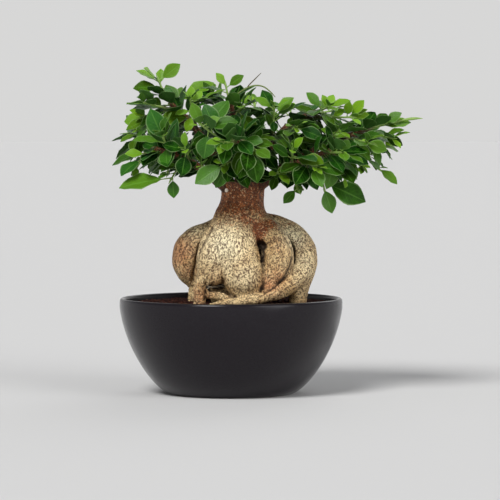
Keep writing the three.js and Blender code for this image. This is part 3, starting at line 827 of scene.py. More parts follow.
roots_skin = skin_of(roots_mesh)
rootlets = []
for left_x, left_z, right_x, right_z, sag in rootlet_ends:
    left, _ = front_place(roots_skin, left_x, left_z)
    right, _ = front_place(roots_skin, right_x, right_z)
    low = left + (right - left) * rootlet_bends[0] - (0, 0.3, sag)
    high = left + (right - left) * rootlet_bends[1] + (0, 0.4, 0.6 * sag)
    left[1] += rootlet_sunk
    right[1] += rootlet_sunk
    rootlets.append([[*spot, rootlet_radius] for spot in (left, low, high, right)])
settle("rootlets", rods(rootlets, 8, 6), [plain_finish("dry_root", rootlet_cream, 0.7)], [])

# The pruning stub: what is left of a small twig that was cut off the neck, with its pale wood bare.
# It is grown into the neck's bark and stands a little proud of it.
stub_radius = 1.9
stub_sunk, stub_proud = 2.2, 1.1
cut_cream = (0.95, 0.82, 0.68)
stub, stub_way = front_place(roots_skin, -4, 203.5)
stub_ends = stub - stub_way * stub_sunk, stub + stub_way * stub_proud
stub_rod = rods([[[*end, stub_radius] for end in stub_ends]], 14, 3)
settle("pruning_stub", stub_rod, [plain_finish("cut_wood", cut_cream, 0.75)], [])

# The branches: slender shoots grafted round the cut top of the neck, where they have grown fast.
# Each is round and brown, and tapers up and outwards to carry the leafy shoots.

# Each branch as points of [x, y, z, radius] along its middle, in mm.
branches = {
    "low_left": [[-4, -8, 204, 5], [-24, -20, 222, 4], [-50, -30, 236, 3.2], [-76, -34, 246, 2.2]],
    "back_left": [[-4, 8, 204, 5], [-30, 20, 224, 4], [-58, 28, 242, 3.2], [-84, 24, 256, 2.2]],
    "high_left": [[-2, 0, 206, 5], [-18, 0, 240, 4], [-38, -4, 268, 3.2], [-60, -8, 290, 2.2]],
    "front": [[12, -14, 204, 5], [14, -36, 226, 4], [12, -58, 244, 3.2], [6, -76, 256, 2.2]],
    "middle": [[8, 0, 208, 5], [8, 0, 240, 4], [4, -8, 268, 3.2], [0, -14, 290, 2.2]],
    "low_right": [[24, -8, 204, 5], [48, -24, 220, 4], [74, -40, 234, 3.2], [98, -50, 244, 2.2]],
    "long_right": [[26, 0, 206, 5.5], [58, -2, 230, 4.4], [94, -6, 250, 3.2], [130, -8, 262, 2.2]],
    "high_right": [[18, 4, 208, 5], [36, 6, 242, 4], [58, 4, 268, 3.2], [84, 0, 282, 2.2]],
    "back_right": [[24, 8, 204, 5], [50, 28, 222, 4], [78, 42, 240, 3.2], [104, 44, 252, 2.2]],
    "back": [[10, 16, 204, 5], [8, 42, 224, 4], [4, 64, 244, 3.2], [-2, 82, 256, 2.2]],
}
branch_facets = 12
branch_span_rings = 10
branch_shade = 0.4
branch_warmth = 0.9
knot_height, knot_size = 0.4, 5

branch_rods = rods(branches.values(), branch_facets, branch_span_rings)
branches_mesh = settle("grafted_branches", branch_rods, [bark_finish], ["tree"]).data
spots, normals = mesh_spots(branches_mesh)
knots = [knot_height * noise.noise(Vector((*spot[:2], spot[2] * 1.5)) / knot_size) for spot in spots]
move_to(branches_mesh, spots + normals * np.array(knots)[:, None])
grain, _ = grain_of(spots, branches.values())
# Painted shade: the branches are painted darker, most where they leave the neck under the crown.
shade = np.interp(spots[:, 2], (210, 240), (top_shade, branch_shade))
zeros = np.zeros(len(spots))
keep_bark(branches_mesh, grain, zeros + branch_warmth, zeros, zeros, shade)

# The leafy shoots: this year's growth, one thin stem each, with stalked leaves set round it in a spiral.
# The leaves are leathery ovals, glossy above and matt below, and the youngest at each tip are lime green.

# Each shoot: its branch, how far along that it grows, its tip [x, y, z] in mm, and its leaves.
shoots = [
    ["high_left", 1, [-72, -8, 313], 4],
    ["high_left", 0.9, [-84, -26, 290], 4],
    ["high_left", 0.7, [-84, -6, 277], 4],
    ["high_left", 0.6, [-40, -32, 293], 5],
    ["middle", 1, [-5, -14, 307], 4],
    ["back_left", 1, [-96, -6, 264], 5],
    ["front", 0.72, [-28, -72, 268], 5],
    ["low_left", 0.8, [-66, -58, 258], 5],
    ["low_left", 1, [-92, -34, 228], 4],
    ["low_left", 0.6, [-58, -50, 216], 4],
    ["low_left", 0.35, [-28, -56, 228], 4],
    ["low_left", 0.5, [-44, -64, 244], 4],
    ["front", 0.45, [-4, -64, 232], 4],
    ["front", 0.85, [-6, -86, 252], 4],
    ["front", 1, [22, -84, 246], 5],
    ["middle", 0.85, [12, -42, 286], 5],
    ["middle", 0.5, [28, -40, 254], 4],
    ["high_right", 0.4, [43, -46, 285], 5],
    ["high_right", 0.6, [64, -46, 266], 5],
    ["low_right", 0.5, [60, -74, 244], 4],
    ["low_right", 0.62, [82, -76, 228], 4],
    ["low_right", 0.3, [46, -62, 222], 4],
    ["low_right", 0.42, [66, -48, 206], 4],
    ["low_right", 0.78, [92, -46, 206], 4],
    ["low_right", 1, [112, -44, 218], 4],
    ["high_right", 1, [96, -24, 286], 5],
    ["high_right", 0.85, [118, -30, 276], 5],
    ["long_right", 0.6, [104, -46, 262], 5],
    ["long_right", 0.8, [132, -58, 252], 5],
    ["low_right", 0.9, [108, -78, 242], 5],
    ["long_right", 1, [154, -12, 270], 4],
    ["long_right", 0.95, [158, -30, 256], 4],
    ["long_right", 0.9, [152, 6, 248], 4],
    ["long_right", 0.76, [146, -14, 226], 4],
    ["long_right", 0.7, [128, -32, 228], 4],
    ["high_left", 0.8, [-56, 32, 290], 5],
    ["middle", 0.8, [-20, 26, 296], 4],
    ["high_right", 0.3, [24, 32, 288], 5],
    ["high_right", 0.7, [60, 36, 284], 4],
    ["high_right", 0.92, [98, 28, 282], 5],
    ["back_left", 0.9, [-90, 40, 258], 5],
    ["back_left", 0.8, [-82, 58, 236], 4],
    ["back_left", 0.6, [-52, 68, 254], 4],
    ["back", 1, [-12, 90, 256], 5],
    ["back", 0.6, [-30, 72, 230], 4],
    ["back", 0.9, [26, 86, 240], 4],
    ["back_right", 0.6, [56, 76, 254], 4],
    ["back_right", 0.8, [84, 72, 234], 4],
    ["back_right", 1, [118, 56, 252], 5],
    ["long_right", 0.84, [138, 36, 238], 4],
    ["back", 0.4, [30, 56, 270], 4],
    ["back_left", 0.65, [-64, 40, 222], 4],
    ["back_right", 0.45, [56, 56, 220], 4],
]
stem_bow = 0.2
stem_girths = 1.45, 1.35, 1.2, 1.05, 0.9
bud_girths = (-1, 0.9), (1.5, 1.15), (4.5, 0.8), (8, 0.15)
stalk_girths = 0.8, 0.6, 0.5
stem_facets, stalk_facets = 8, 5
stem_rings, bud_rings, stalk_rings = 14, 8, 3
leaf_length = 36.0


def shoot_stem(branch, share, tip):
    """A stem as a function of share: it leaves its branch and bows to its tip under its own weight."""
    base = line_through(branches[branch])(share)
    tip = np.array(tip, float)
    middle = base + (tip - base) * 0.5
    middle[2] -= stem_bow * (tip[2] - base[2])
    return lambda t: (1 - t) ** 2 * base + 2 * (1 - t) * t * middle + t**2 * tip


stems = [shoot_stem(branch, share, tip) for branch, share, tip, _ in shoots]

stalk_share = 0.2
stalk_half_width = 0.8
blade_half_width = 0.26
blade_lean = 1.05
blade_fullness = 0.8
blade_fold = 0.22


def blade_bulge(leaf, share):
    """Half the blade's width at a share of its length, from the stalk's end at 0 to the tip at 1."""
    widest = leaf["length"] * leaf["wide"] * blade_half_width
    return widest * np.sin(np.pi * share**blade_lean) ** blade_fullness


def on_leaf(leaf, across, along, above):
    """Places on a leaf, from how far each is across it, along it and above it, in mm."""
    spots = leaf["root"] + np.outer(along, leaf["along"])
    return spots + np.outer(across, leaf["across"]) + np.outer(above, leaf["facing"])


def leaf_spots(leaf, u, v):
    """Places on a leaf: u runs across it from -1 to 1, and v along it from 0 at the stalk's root to 1."""
    u, v = np.asarray(u, float), np.asarray(v, float)
    bulge = blade_bulge(leaf, np.maximum(0, (v - stalk_share) / (1 - stalk_share)))
    half = np.maximum(stalk_half_width, bulge)
    rise = blade_fold * np.abs(u) * bulge - leaf["arch"] * leaf["length"] * v * v
    return on_leaf(leaf, u * half, v * leaf["length"], rise)


# The places that a leaf keeps clear of: the room each needs, and the shoot whose own leaves need less.
wood_room, stem_room, leaf_room, own_leaf_room = 2.5, 4, 4.5, 2.5
most_places = 60000
taken_places = np.empty((most_places, 3))
taken_rooms = np.empty((most_places, 3))
taken_count = 0


def take(places, rooms, shoot, own_room):
    """Marks places as taken, with the room that others, and the shoot's own leaves, leave round them."""
    global taken_count
    last = taken_count + len(places)
    taken_places[taken_count:last] = places
    taken_rooms[taken_count:last, 0] = rooms
    taken_rooms[taken_count:last, 1:] = shoot, own_room
    taken_count = last


for points in [roots["neck"][:3], *branches.values()]:
    wood = np.array([through(points, share) for share in np.linspace(0, 1, 6 * len(points) + 1)])
    take(wood[:, :3], wood[:, 3] + wood_room, -1, 0)
for index, stem in enumerate(stems):
    take(np.array([stem(share) for share in np.linspace(0, 1, 17)]), stem_room, index, 0)

# Where a leaf is tested for room, as [u, v]: on its stalk, and all over its blade.
probes = [(0, 0.12)]
probes += [(u, v) for v in (0.25, 0.4, 0.55, 0.7, 0.85, 1) for u in (-0.9, -0.45, 0, 0.45, 0.9)]
probe_u, probe_v = np.array(probes).T


# The crown's outline as seen from the front: its top and its underside along x, as [x, z].
crown_top = np.array([
    [-112, 260], [-104, 290], [-92, 308], [-50, 312], [-20, 315], [12, 313], [34, 304], [70, 291], [86, 298],
    [120, 293], [140, 285], [170, 279], [186, 272],
])
crown_underside = np.array([
    [-112, 210], [-85, 214], [-20, 216], [10, 210], [48, 204], [110, 204], [134, 220], [152, 222], [165, 232],
    [174, 254], [186, 270],
])


def in_crown(spots):
    """Whether all spots lie within the crown's outline."""
    x, z = spots[:, 0], spots[:, 2]
    below = z < np.interp(x, *crown_top.T)
    return bool((below & (z > np.interp(x, *crown_underside.T))).all())


def has_room(spots, root, shoot, ease=1.0):
    """Whether all spots of a leaf lie clear of what is taken. ease below 1 lets it in closer."""
    gaps = taken_places[:taken_count] - root
    near = (gaps**2).sum(1) < (2 * leaf_length) ** 2
    rooms = taken_rooms[:taken_count][near]
    needed = np.where(rooms[:, 1] == shoot, rooms[:, 2], rooms[:, 0]) * ease
    apart = (spots - root)[:, None, :] - gaps[near][None, :, :]
    return bool(((apart**2).sum(2) > needed**2).all())


# One random number after another, each from 0 to 1, and the same ones every time.
growth = {"state": 7}
growth_factor, growth_step, growth_span = 1664525, 1013904223, 2**32


def chance():
    growth["state"] = (growth["state"] * growth_factor + growth_step) % growth_span
    return growth["state"] / growth_span


crown_middle = np.array([30.0, 0.0, 240.0])
crown_reach = np.array([147.0, 110.0, 70.0])
towards_light = np.array([0.0, -0.15, 0.8])
outward_lean, outward_face, face_tilt = 0.35, 0.7, 0.9
tries, shrink_per_try = 9, 0.94
least_arch, arch_span = 0.05, 0.15
spiral_step = math.radians(137.5)
young_spread, old_spread = math.radians(30), math.radians(72)
retry_turn = math.radians(40)


def new_leaf(root, along, facing, length, arch, wide=1.0):
    """A leaf that runs along a direction, with its face turned as near to facing as that allows."""
    facing = unit(facing - along * facing.dot(along))
    across = np.cross(along, facing)
    return dict(root=root, along=along, across=across, facing=facing, length=length, arch=arch, wide=wide)


def grow_leaf(stem, shoot, share, roll, length, spread, sag, ease=1.0):
    """A leaf on a stem, turned on round it and made smaller until it has room, or None.
    ease below 1 lets it in closer to others."""
    lean, nod, bend = chance(), chance(), chance()
    root = stem(share)
    way = line_way(stem, share)
    side = unit(np.cross(crossest(stem(1.0) - stem(0.0)), way))
    up = np.cross(side, way)
    outward = (root - crown_middle) / crown_reach
    for attempt in range(tries):
        turn = roll + attempt * retry_turn
        ray = side * math.cos(turn) + up * math.sin(turn)
        along = way * math.cos(spread) + ray * math.sin(spread)
        along = unit(along + outward * outward_lean - (0, 0, sag))
        facing = towards_light + outward * outward_face
        facing = facing + (side * (lean - 0.5) + way * (nod - 0.5)) * face_tilt
        size = length * shrink_per_try**attempt
        leaf = new_leaf(root, along, facing, size, least_arch + arch_span * bend)
        spots = leaf_spots(leaf, probe_u, probe_v)
        if in_crown(spots) and has_room(spots, root, shoot, ease):
            take(spots, leaf_room, shoot, own_leaf_room)
            return leaf
    return None


def between_draws(low, high):
    """The next random number, spread between low and high."""
    return low + (high - low) * chance()


# The leaves that show best from the front: where the blade's base and tip are as seen from there
# [x, z, x, z], how far its face is open to the front (over 1 it is also wider), and its youth.
front_leaves = [
    [-70, 317, -51, 329, 0.95, 0.35], [-75, 317, -93, 324, 0.35, 0.6], [-75, 317, -84, 326, 0.5, 0.7],
    [-73, 318, -70, 325, 0.5, 0.6], [-76, 305, -97, 306, 0.7, 0.15], [-75, 308, -58, 302, 0.9, 0.05],
    [-72, 292, -101, 291, 0.3, 0.1], [-66, 283, -97, 287, 0.3, 0.1], [-95, 276, -100, 284, 0.6, 0.75],
    [-88, 275, -108, 273, 0.75, 0.5], [-88, 273, -105, 265, 0.4, 0.3], [-82, 274, -67, 251, 1.2, 0.2],
    [-88, 264, -111, 253, 0.3, 0.3], [-81, 257, -89, 249, 0.3, 0.3], [-44, 275, -71, 275, 0.7, 0.3],
    [-33, 284, -55, 280, 0.5, 0.45], [-33, 280, -44, 262, 0.95, 0.6], [-28, 269, -11, 276, 0.75, 0.4],
    [-23, 269, 7, 273, 0.6, 0.1], [-26, 280, -3, 294, 0.4, 0.1], [-31, 273, -26, 283, 0.4, 0.75],
    [-54, 293, -19, 313, 0.5, 0.4], [-47, 293, -13, 297, 0.1, 0.3], [-32, 302, -7, 306, 0.15, 0.4],
    [-36, 299, -39, 307, 0.7, 0.6], [-36, 299, -29, 303, 0.6, 0.6], [-8, 308, -14, 320, 0.7, 0.65],
    [-1, 308, 12, 318, 0.7, 0.2], [-11, 295, 5, 305, 0.5, 0.0], [26, 290, 8, 296, 0.5, 0.35],
    [-6, 281, 11, 284, 0.7, 0.15], [-31, 261, -26, 236, 1.35, 0.05], [-41, 258, -66, 250, 0.8, 0.0],
    [-45, 242, -48, 219, 1.3, 0.0], [-80, 237, -104, 241, 0.6, 0.65], [-78, 227, -61, 242, 0.9, 0.35],
    [-71, 225, -110, 210, 0.4, 0.3], [-61, 220, -56, 197, 1.1, 0.05], [-13, 231, -35, 212, 0.85, 0.15],
    [-5, 229, -3, 213, 1.1, 0.05], [17, 232, -3, 229, 0.8, 0.25], [12, 240, 38, 238, 0.45, 0.25],
    [11, 255, 31, 253, 0.8, 0.1], [42, 288, 24, 296, 0.5, 0.35], [45, 289, 31, 303, 1.0, 0.0],
    [43, 288, 61, 296, 0.6, 0.35], [46, 282, 63, 290, 0.5, 0.2], [41, 277, 43, 262, 1.2, 0.0],
    [54, 269, 81, 273, 0.5, 0.15], [91, 274, 64, 288, 0.4, 0.15], [89, 288, 76, 301, 0.6, 0.2],
    [97, 290, 91, 298, 0.7, 0.65], [98, 290, 102, 299, 0.7, 0.65], [100, 290, 107, 294, 0.6, 0.6],
    [107, 291, 118, 294, 0.4, 0.55], [123, 283, 131, 293, 0.75, 0.6], [122, 283, 117, 291, 0.7, 0.5],
    [100, 277, 113, 284, 0.7, 0.6], [124, 270, 137, 280, 0.6, 0.6], [119, 264, 90, 266, 0.5, 0.35],
    [148, 276, 169, 281, 0.7, 0.2], [145, 269, 179, 273, 0.45, 0.35], [125, 265, 134, 252, 0.6, 0.9],
    [119, 252, 137, 234, 0.9, 0.15], [130, 257, 153, 244, 1.1, 0.35], [116, 252, 94, 238, 1.2, 0.15],
    [151, 257, 170, 249, 0.8, 0.05], [148, 230, 166, 211, 0.4, 0.3], [61, 237, 63, 255, 1.0, 0.1],
    [61, 236, 90, 233, 0.5, 0.3], [68, 222, 91, 223, 0.35, 0.25], [64, 227, 45, 218, 0.7, 0.35],
    [69, 218, 69, 201, 1.25, 0.25], [69, 205, 52, 192, 0.9, 0.1], [91, 208, 100, 182, 0.8, 0.15],
    [98, 215, 133, 194, 0.85, 0.05], [24, 242, 38, 238, 0.6, 0.3], [72, 261, 90, 257, 0.7, 0.0],
    [26, 217, 42, 219, 0.7, 0.0],
]
first_leaf, last_leaf = 0.35, 0.98
stem_shares = np.linspace(0.3, last_leaf, 15)
stem_places = [(index, stem(share)) for index, stem in enumerate(stems) for share in stem_shares]
front_leans = [-5, -11, 1, -17, 7, -23, 13, 19]
front_arch = 0.08
back_share = 0.1
least_size, size_span, young_size, roll_swing, most_droop = 0.82, 0.3, 0.72, 0.7, 0.5
tip_youth, odd_youth = 0.25, 0.15
leaves = [[] for _ in shoots]


def seems_far(place, x, z):
    """How far a place seems from x, z as seen from the front, and a little farther the more it lies back."""
    return math.hypot(place[0] - x, place[2] - z) + back_share * place[1]


def front_leaf(base_x, base_z, tip_x, tip_z, opening, youth, ease=1.0):
    """A leaf from the nearest stem to a tip given as seen from the front, or None where it has no room."""
    nearest = min(stem_places, key=lambda entry: seems_far(entry[1], base_x, base_z))
    shoot, root = nearest
    open_share = min(opening, 1)
    for lean in front_leans:
        reach = np.array([tip_x, root[1] + lean, tip_z]) - root
        length = np.linalg.norm(reach)
        facing = np.array([0, -open_share, 1 - 0.8 * open_share])
        leaf = new_leaf(root, reach / length, facing, length, front_arch, max(1.0, opening))
        leaf["youth"] = youth
        spots = leaf_spots(leaf, probe_u, probe_v)
        if has_room(spots, root, shoot, ease):
            take(spots, leaf_room, shoot, own_leaf_room)
            leaves[shoot].append(leaf)
            stem_places[:] = [entry for entry in stem_places if entry is not nearest]
            return leaf
    return None


crowded = [row for row in front_leaves if front_leaf(*row) is None]
for index, (_, _, _, count) in enumerate(shoots):
    roll = chance() * math.tau
    for i in range(len(leaves[index]), count):
        swing, size, droop = chance(), chance(), chance()
        age = 1 - i / (count - 1)
        length = leaf_length * (least_size + size_span * size) * (young_size + (1 - young_size) * age)
        turn = roll + i * spiral_step + (swing - 0.5) * roll_swing
        spread = young_spread + (old_spread - young_spread) * age
        share = first_leaf + (last_leaf - first_leaf) * (1 - age)
        leaf = grow_leaf(stems[index], index, share, turn, length, spread, most_droop * droop * age)
        if leaf:
            leaf["youth"] = tip_youth * (1 - age) + odd_youth * draws.random() ** 2
            leaves[index].append(leaf)

# Darker leaves close the gaps over the neck and high in the middle. Their rows read as those above.
closing_leaves = [
    [22, 236, 8, 217, 0.8, 0.1], [30, 234, 26, 213, 0.9, 0.1], [8, 236, -2, 222, 0.7, 0.1],
    [38, 232, 44, 216, 0.7, 0.15], [30, 272, 48, 280, 0.6, 0.1], [40, 262, 36, 280, 0.4, 0.1],
    [52, 262, 60, 276, 0.5, 0.1], [44, 250, 56, 262, 0.7, 0.05], [34, 250, 28, 266, 0.6, 0.05],
    [-60, 262, -64, 276, 0.5, 0.1], [-50, 268, -52, 284, 0.5, 0.1], [-6, 226, -15, 207, 0.9, 0.1],
    [34, 226, 40, 205, 0.8, 0.1], [20, 228, 17, 207, 0.8, 0.05],
]
for row in crowded + closing_leaves:
    front_leaf(*row, ease=0.3)

# More leaves fill the crown: some between the others, a few unfolding round the bud at each tip, and
# some on the branches inside it. Each kind: how many, their least and most size and spread in
# degrees, how far they sag, how close they may come to others, and where they start along the line.
fillers = {"count": 3, "sizes": (0.8, 1.1), "spreads": (45, 80), "sag": 0.4, "ease": 0.55, "start": 0.1}
inner = {"count": 20, "sizes": (0.75, 1.05), "spreads": (50, 85), "sag": 0.3, "ease": 0.25, "start": 0.3}
filled_share = 0.7
filler_youth = 0.2

# The leaves that unfold at each tip: size, spread in degrees and youth.
unfolding = (0.5, 52, 0.5), (0.4, 40, 0.72), (0.3, 28, 0.94)
unfolding_ease = 0.3


def filling_leaves(kind, line, shoot):
    """Leaves of one kind that fill the gaps along a stem or a branch, where they have room."""
    for i in range(kind["count"]):
        share = kind["start"] + filled_share * (i + chance()) / kind["count"]
        length = leaf_length * between_draws(*kind["sizes"])
        spread = math.radians(between_draws(*kind["spreads"]))
        turn, sag = math.tau * chance(), kind["sag"] * chance()
        leaf = grow_leaf(line, shoot, share, turn, length, spread, sag, kind["ease"])
        if leaf:
            yield leaf


for index, stem in enumerate(stems):
    for leaf in filling_leaves(fillers, stem, index):
        leaf["youth"] = filler_youth * draws.random() ** 2
        leaves[index].append(leaf)
    roll = math.tau * chance()
    for i, (size, spread, youth) in enumerate(unfolding):
        length = leaf_length * size * between_draws(0.85, 1.15)
        turn = roll + i * spiral_step
        leaf = grow_leaf(stem, index, 1.0, turn, length, math.radians(spread), 0, unfolding_ease)
        if leaf:
            leaf["youth"] = youth
            leaves[index].append(leaf)

inner_leaves = []
for index, points in enumerate(branches.values()):
    for leaf in filling_leaves(inner, line_through(points), -2 - index):
        leaf["youth"] = 0.0
        inner_leaves.append(leaf)

# The blade: its mesh, half its thickness in mm, its least half width in mm, how far its end is drawn in,
# its fold along the midrib, and the waves of its margin.
blade_cells = 4, 8
blade_half_thickness = 0.25
least_half_width = 0.3
end_taper = 0.15
fold_rise, fold_ease = 0.27, 0.07
ripple_count, ripple_height = 2.2, 0.022


def blade_form():
    """A flat closed blade: x is across it, -1 to 1, y along it, 0 to 1, and z its two faces, -1 and 1."""
    bm = bmesh.new()
    bm.loops.layers.uv.new("UVMap")
    bmesh.ops.create_grid(bm, x_segments=blade_cells[0], y_segments=blade_cells[1], size=1, calc_uvs=True)
    bmesh.ops.solidify(bm, geom=bm.faces[:], thickness=1)
    highest = max(vertex.co.z for vertex in bm.verts)
    under = bm.verts.layers.float.new("underside")
    for vertex in bm.verts:
        vertex[under] = 0.0 if vertex.co.z > highest - 0.5 else 1.0
        vertex.co = (vertex.co.x, (vertex.co.y + 1) / 2, 1 - 2 * vertex[under])
    bmesh.ops.recalc_face_normals(bm, faces=bm.faces)
    return mesh_of("blade_form", bm)


blade = blade_form()
flat_blade = mesh_spots(blade)[0] * mm


def bent_blade(leaf):
    """The blade's vertices in metres: an oval with a short point, folded, arched and a little waved."""
    u, share, face = flat_blade.T
    length = leaf["length"]
    bulge = blade_bulge(leaf, share) * (1 - end_taper * ramp(share, 0.8, 1.0))
    v = stalk_share + (1 - stalk_share) * share
    edge = np.abs(u)
    fold = bulge * (fold_rise * edge - fold_ease * edge**3)
    ripple = np.sin(math.tau * (ripple_count * share + leaf["wave"]) + 2 * u)
    wave = ripple_height * length * edge**2 * np.sin(np.pi * share) * ripple
    rise = fold + wave - leaf["arch"] * length * v * v
    rise = rise + face * blade_half_thickness * (1 - 0.5 * edge)
    return on_leaf(leaf, u * np.maximum(least_half_width, bulge), v * length, rise) * mm


# The leaves low over the neck get painted shade: the crown's own shadow is painted into their green, and
# their young lime is dulled there.
gloom_middle = np.array([22.0, 0.0, 222.0])
gloom_reach = np.array([36.0, 400.0, 22.0])
gloom_lime_dimming = 0.7
dark_within, light_beyond = 0.42, 0.9


def leafy(name, own, nodes, stem=None):
    """A piece of stalked leaves, with the stem that carries them and the bud at its tip."""
    bm = bmesh.new()
    bm.loops.layers.uv.new("UVMap")
    bm.verts.layers.float.new("underside")
    youth = bm.verts.layers.float.new("youth")
    tone = bm.verts.layers.float.new("tone")
    for _ in own:
        bm.from_mesh(blade)
    bm.verts.ensure_lookup_table()
    count = len(flat_blade)
    for index, leaf in enumerate(own):
        leaf["wave"] = draws.random()
        end = leaf["root"] + leaf["along"] * leaf["length"]
        # Painted shade: leaves deep in the crown and low over the neck are painted darker; the rest of their
        # tone differs at random.
        outness = np.linalg.norm((end - crown_middle) / crown_reach)
        gloom = math.exp(-(((end - gloom_middle) / gloom_reach) ** 2).sum())
        shade = draws.random() * ramp(outness, dark_within, light_beyond) * (1 - gloom)
        for vertex, place in zip(bm.verts[index * count : (index + 1) * count], bent_blade(leaf)):
            vertex.co = place
            vertex[youth] = leaf["youth"] * (1 - gloom_lime_dimming * gloom)
            vertex[tone] = shade
    blades = set(bm.verts)
    for leaf in own:
        middle = leaf_spots(leaf, [0, 0, 0], [0, stalk_share / 2, stalk_share * 1.15])
        stalk = [[*spot, radius] for spot, radius in zip(middle, stalk_girths)]
        rod(bm, stalk, stalk_facets, stalk_rings, material=1)
    if stem:
        base, tip, way = stem(0.0), stem(1.0), line_way(stem, 1.0)
        passed = [[*stem(i / 4), radius] for i, radius in enumerate(stem_girths)]
        rod(bm, passed, stem_facets, stem_rings, material=1)
        bud = [[*(tip + way * far), radius] for far, radius in bud_girths]
        rod(bm, bud, stem_facets, bud_rings, material=1)
    for vertex in bm.verts:
        if vertex in blades:
            continue
        vertex[youth] = 0.5
        if stem:
            reach = (np.array(vertex.co) / mm - base).dot(tip - base)
            vertex[youth] = min(1.2, max(0.0, reach / (tip - base).dot(tip - base)))
    bmesh.ops.recalc_face_normals(bm, faces=bm.faces)
    return settle(name, bm, [leaf_finish, shoot_finish], nodes)


# The leaf's greens: in the crown's painted shade, in the light, in paler patches, young at a shoot's tip, and
# on its veins, midrib and underside, with a painted highlight on its margin. Then the skin of an old shoot
# and of a fresh one.
shade_green, light_green = (0.0012, 0.014, 0.0006), (0.016, 0.118, 0.003)
patch_green, lime_green = (0.035, 0.17, 0.005), (0.28, 0.54, 0.024)
vein_green, midrib_green = (0.12, 0.32, 0.04), (0.15, 0.36, 0.05)
margin_highlight_green, under_green = (0.34, 0.48, 0.2), (0.06, 0.16, 0.03)
old_skin, worn_skin = (0.05, 0.035, 0.015), (0.13, 0.1, 0.04)
fresh_skin, bright_skin = (0.16, 0.3, 0.05), (0.34, 0.5, 0.12)


def fig_leaf():
    """A leathery leaf: pale midrib and side veins, a painted highlight along the margin, gloss above and a
    matt, paler underside.
    """
    material, tree, shader, where = new_finish("fig_leaf")
    youth, tone, under = (kept(tree, name) for name in ("youth", "tone", "underside"))
    place = put(tree, "UVMap", {"uv_map": "UVMap"}).outputs["UV"]
    along = put(tree, "SeparateXYZ", Vector=place).outputs
    edge = sums(tree, "ABSOLUTE", sums(tree, "MULTIPLY_ADD", along["X"], 2.0, -1.0))
    midrib = between(tree, edge, 0.03, 0.1, 1, 0)
    run = sums(tree, "MULTIPLY_ADD", edge, -2.4, sums(tree, "MULTIPLY", along["Y"], 8.0))
    vein = between(tree, sums(tree, "PINGPONG", run, 0.5), 0.0, 0.09, 1, 0)
    vein = sums(tree, "MULTIPLY", vein, between(tree, edge, 0.6, 0.92, 1, 0))
    # Painted highlight: a pale rim along the blade's edge.
    margin = between(tree, edge, 0.82, 0.99)
    patches = cloud(tree, where, 7 * mm)
    green = mingle(tree, tone, shade_green, light_green)
    green = mingle(tree, between(tree, patches, 0.4, 0.7, 0, 0.35), green, patch_green)
    green = mingle(tree, youth, green, lime_green)
    marks = [
        (vein, 0.16, vein_green),
        (midrib, 0.3, midrib_green),
        (margin, 0.42, margin_highlight_green),
        (under, 0.7, under_green),
    ]
    for mark, strength, colour in marks:
        green = mingle(tree, sums(tree, "MULTIPLY", mark, strength), green, colour)
    gloss = between(tree, tone, 0.0, 0.8, 0.03, 0.33)
    rough = between(tree, under, 0, 1, 0.42, 0.65)
    set_up(tree, shader, Base_Color=green, Roughness=rough, Specular_IOR_Level=gloss)
    ridges = sums(tree, "MAXIMUM", midrib, vein)
    relief = sums(tree, "MULTIPLY_ADD", ridges, -0.6, cloud(tree, where, 1.5 * mm, detail=2))
    emboss(tree, shader, relief, 0.25 * mm)
    return material


def shoot_skin():
    """The skin of stems, stalks and buds: brown-green where it is oldest, and fresh green towards the tip."""
    material, tree, shader, where = new_finish("shoot_skin")
    old = mingle(tree, cloud(tree, where, 2 * mm), old_skin, worn_skin)
    fresh = mingle(tree, cloud(tree, where, 4 * mm), fresh_skin, bright_skin)
    skin = mingle(tree, between(tree, kept(tree, "youth"), 0.15, 0.8), old, fresh)
    set_up(tree, shader, Base_Color=skin, Roughness=0.5)
    emboss(tree, shader, cloud(tree, where, 1 * mm), 0.15 * mm)
    return material


leaf_finish = fig_leaf()
shoot_finish = shoot_skin()
for index, own in enumerate(leaves):
    node = f"shoot_{index + 1:02d}"
    leafy(f"leafy_{node}", own, [node], stems[index])
leafy("inner_leaves", inner_leaves, [])

# The odd shoots: a thin runner that arches over the crown with a dry twig on it, and a long sheathed bud
# at the far right. Each grows out of a stem: where it passes as seen from the front, how far it is
# from that stem's depth, and its radius [x, z, y, radius], in mm.
odd_rings = 30
runner_line = [
    [5, 298, -6, 1.0], [16, 305, -10, 0.9], [25, 307.5, -12, 0.8], [33, 306, -13, 0.7], [40, 300.5, -14, 0.6],
    [44, 296, -14, 0.35],
]
twig_line = [[18.5, 308.5, 0, 0.6], [24, 314, 1, 0.55], [30, 320, 1, 0.25]]
bud_line = [
    [164, 271, 0, 0.9], [172, 273.5, 0, 1.0], [179, 274.5, 0, 1.5], [185, 275, 0, 1.1], [191, 275, 0, 0.2],
]


def nearest_stem_place(x, z):
    """The place on a stem that seems nearest to x, z from the front, in mm."""
    places = [stem(share) for stem in stems for share in stem_shares]
    return min(places, key=lambda place: seems_far(place, x, z))


def odd_shoot(name, base, line, youth):
    """A thin shoot that grows from a base along a line. Its youth is 0 when dry and 1 when fresh."""
    passed = [[x, base[1] + y, z, radius] for x, z, y, radius in line]
    shoot = rods([[[*base, line[0][3]], *passed]], stem_facets, odd_rings // len(line))
    mesh = settle(name, shoot, [shoot_finish], []).data
    keep_values(mesh, "youth", np.full(len(mesh.vertices), youth))


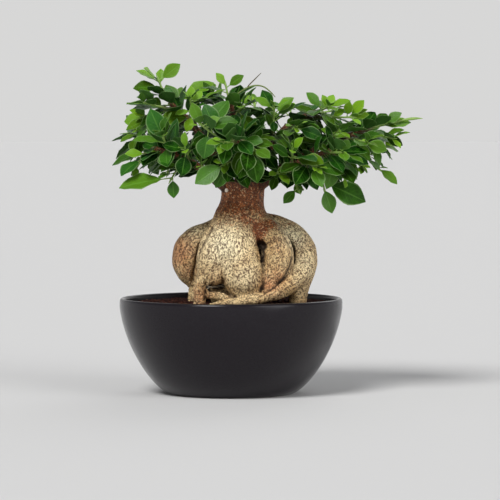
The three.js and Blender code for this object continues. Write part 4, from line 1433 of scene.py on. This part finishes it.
runner_base = nearest_stem_place(-6, 291)
odd_shoot("arching_runner", runner_base, runner_line, 0.45)
odd_shoot("dry_twig", runner_base * (0, 1, 0) + (16, -10, 305), twig_line, 0.1)
odd_shoot("long_bud", nearest_stem_place(154, 270), bud_line, 1.0)

# The studio: a plain pale floor that runs back out of sight under a pale sky.
# The light is wide and soft, from lamps so far off that they light the floor evenly.
floor_reach = 40.0
floor_pale = (0.7, 0.695, 0.685)
sky_pale = (0.68, 0.679, 0.675)
sky_grey = (0.15, 0.155, 0.17)
bm = bmesh.new()
bmesh.ops.create_grid(bm, x_segments=1, y_segments=1, size=floor_reach)
floor = place_in_scene("studio_floor", mesh_of("studio_floor", bm))
floor_paint, tree, shader, _ = new_finish("floor_paint")
set_up(tree, shader, Base_Color=floor_pale, Roughness=0.9, Specular_IOR_Level=0.1)
floor.data.materials.append(floor_paint)


def far_lamp(name, heading, strength, spread):
    """A lamp so far off that its light is even all over, shining from a heading, with a spread in degrees."""
    lamp = bpy.data.lights.new(name, "SUN")
    lamp.energy = strength
    lamp.angle = math.radians(spread)
    place_in_scene(name, lamp).rotation_euler = Vector(heading).to_track_quat("Z", "Y").to_euler()


far_lamp("key_lamp", (-0.45, -0.85, 1.0), 2.4, 24)
far_lamp("fill_lamp", (0.9, -0.8, 0.5), 1.05, 40)
far_lamp("back_lamp", (0.3, 0.9, 0.8), 0.45, 40)

# The sky is pale at eye level and darker overhead.
world = bpy.data.worlds.new("studio")
bpy.context.scene.world = world
world.use_nodes = True
tree = world.node_tree
heading = put(tree, "TexCoord").outputs["Generated"]
rise = put(tree, "SeparateXYZ", Vector=heading).outputs["Z"]
sky = mingle(tree, between(tree, rise, 0.08, 0.55), sky_pale, sky_grey)
set_up(tree, tree.nodes["Background"], Color=sky)

camera_place = Vector((0.019, -3.0, 0.271))
camera_aim = Vector((0.019, 0, 0.1434))
lens = bpy.data.cameras.new("camera")
lens.lens = 216
lens.sensor_width = 36
camera = place_in_scene("camera", lens)
camera.location = camera_place
camera.rotation_euler = (camera_aim - camera_place).to_track_quat("-Z", "Y").to_euler()
bpy.context.scene.camera = camera
bpy.context.scene.view_settings.view_transform = "Standard"
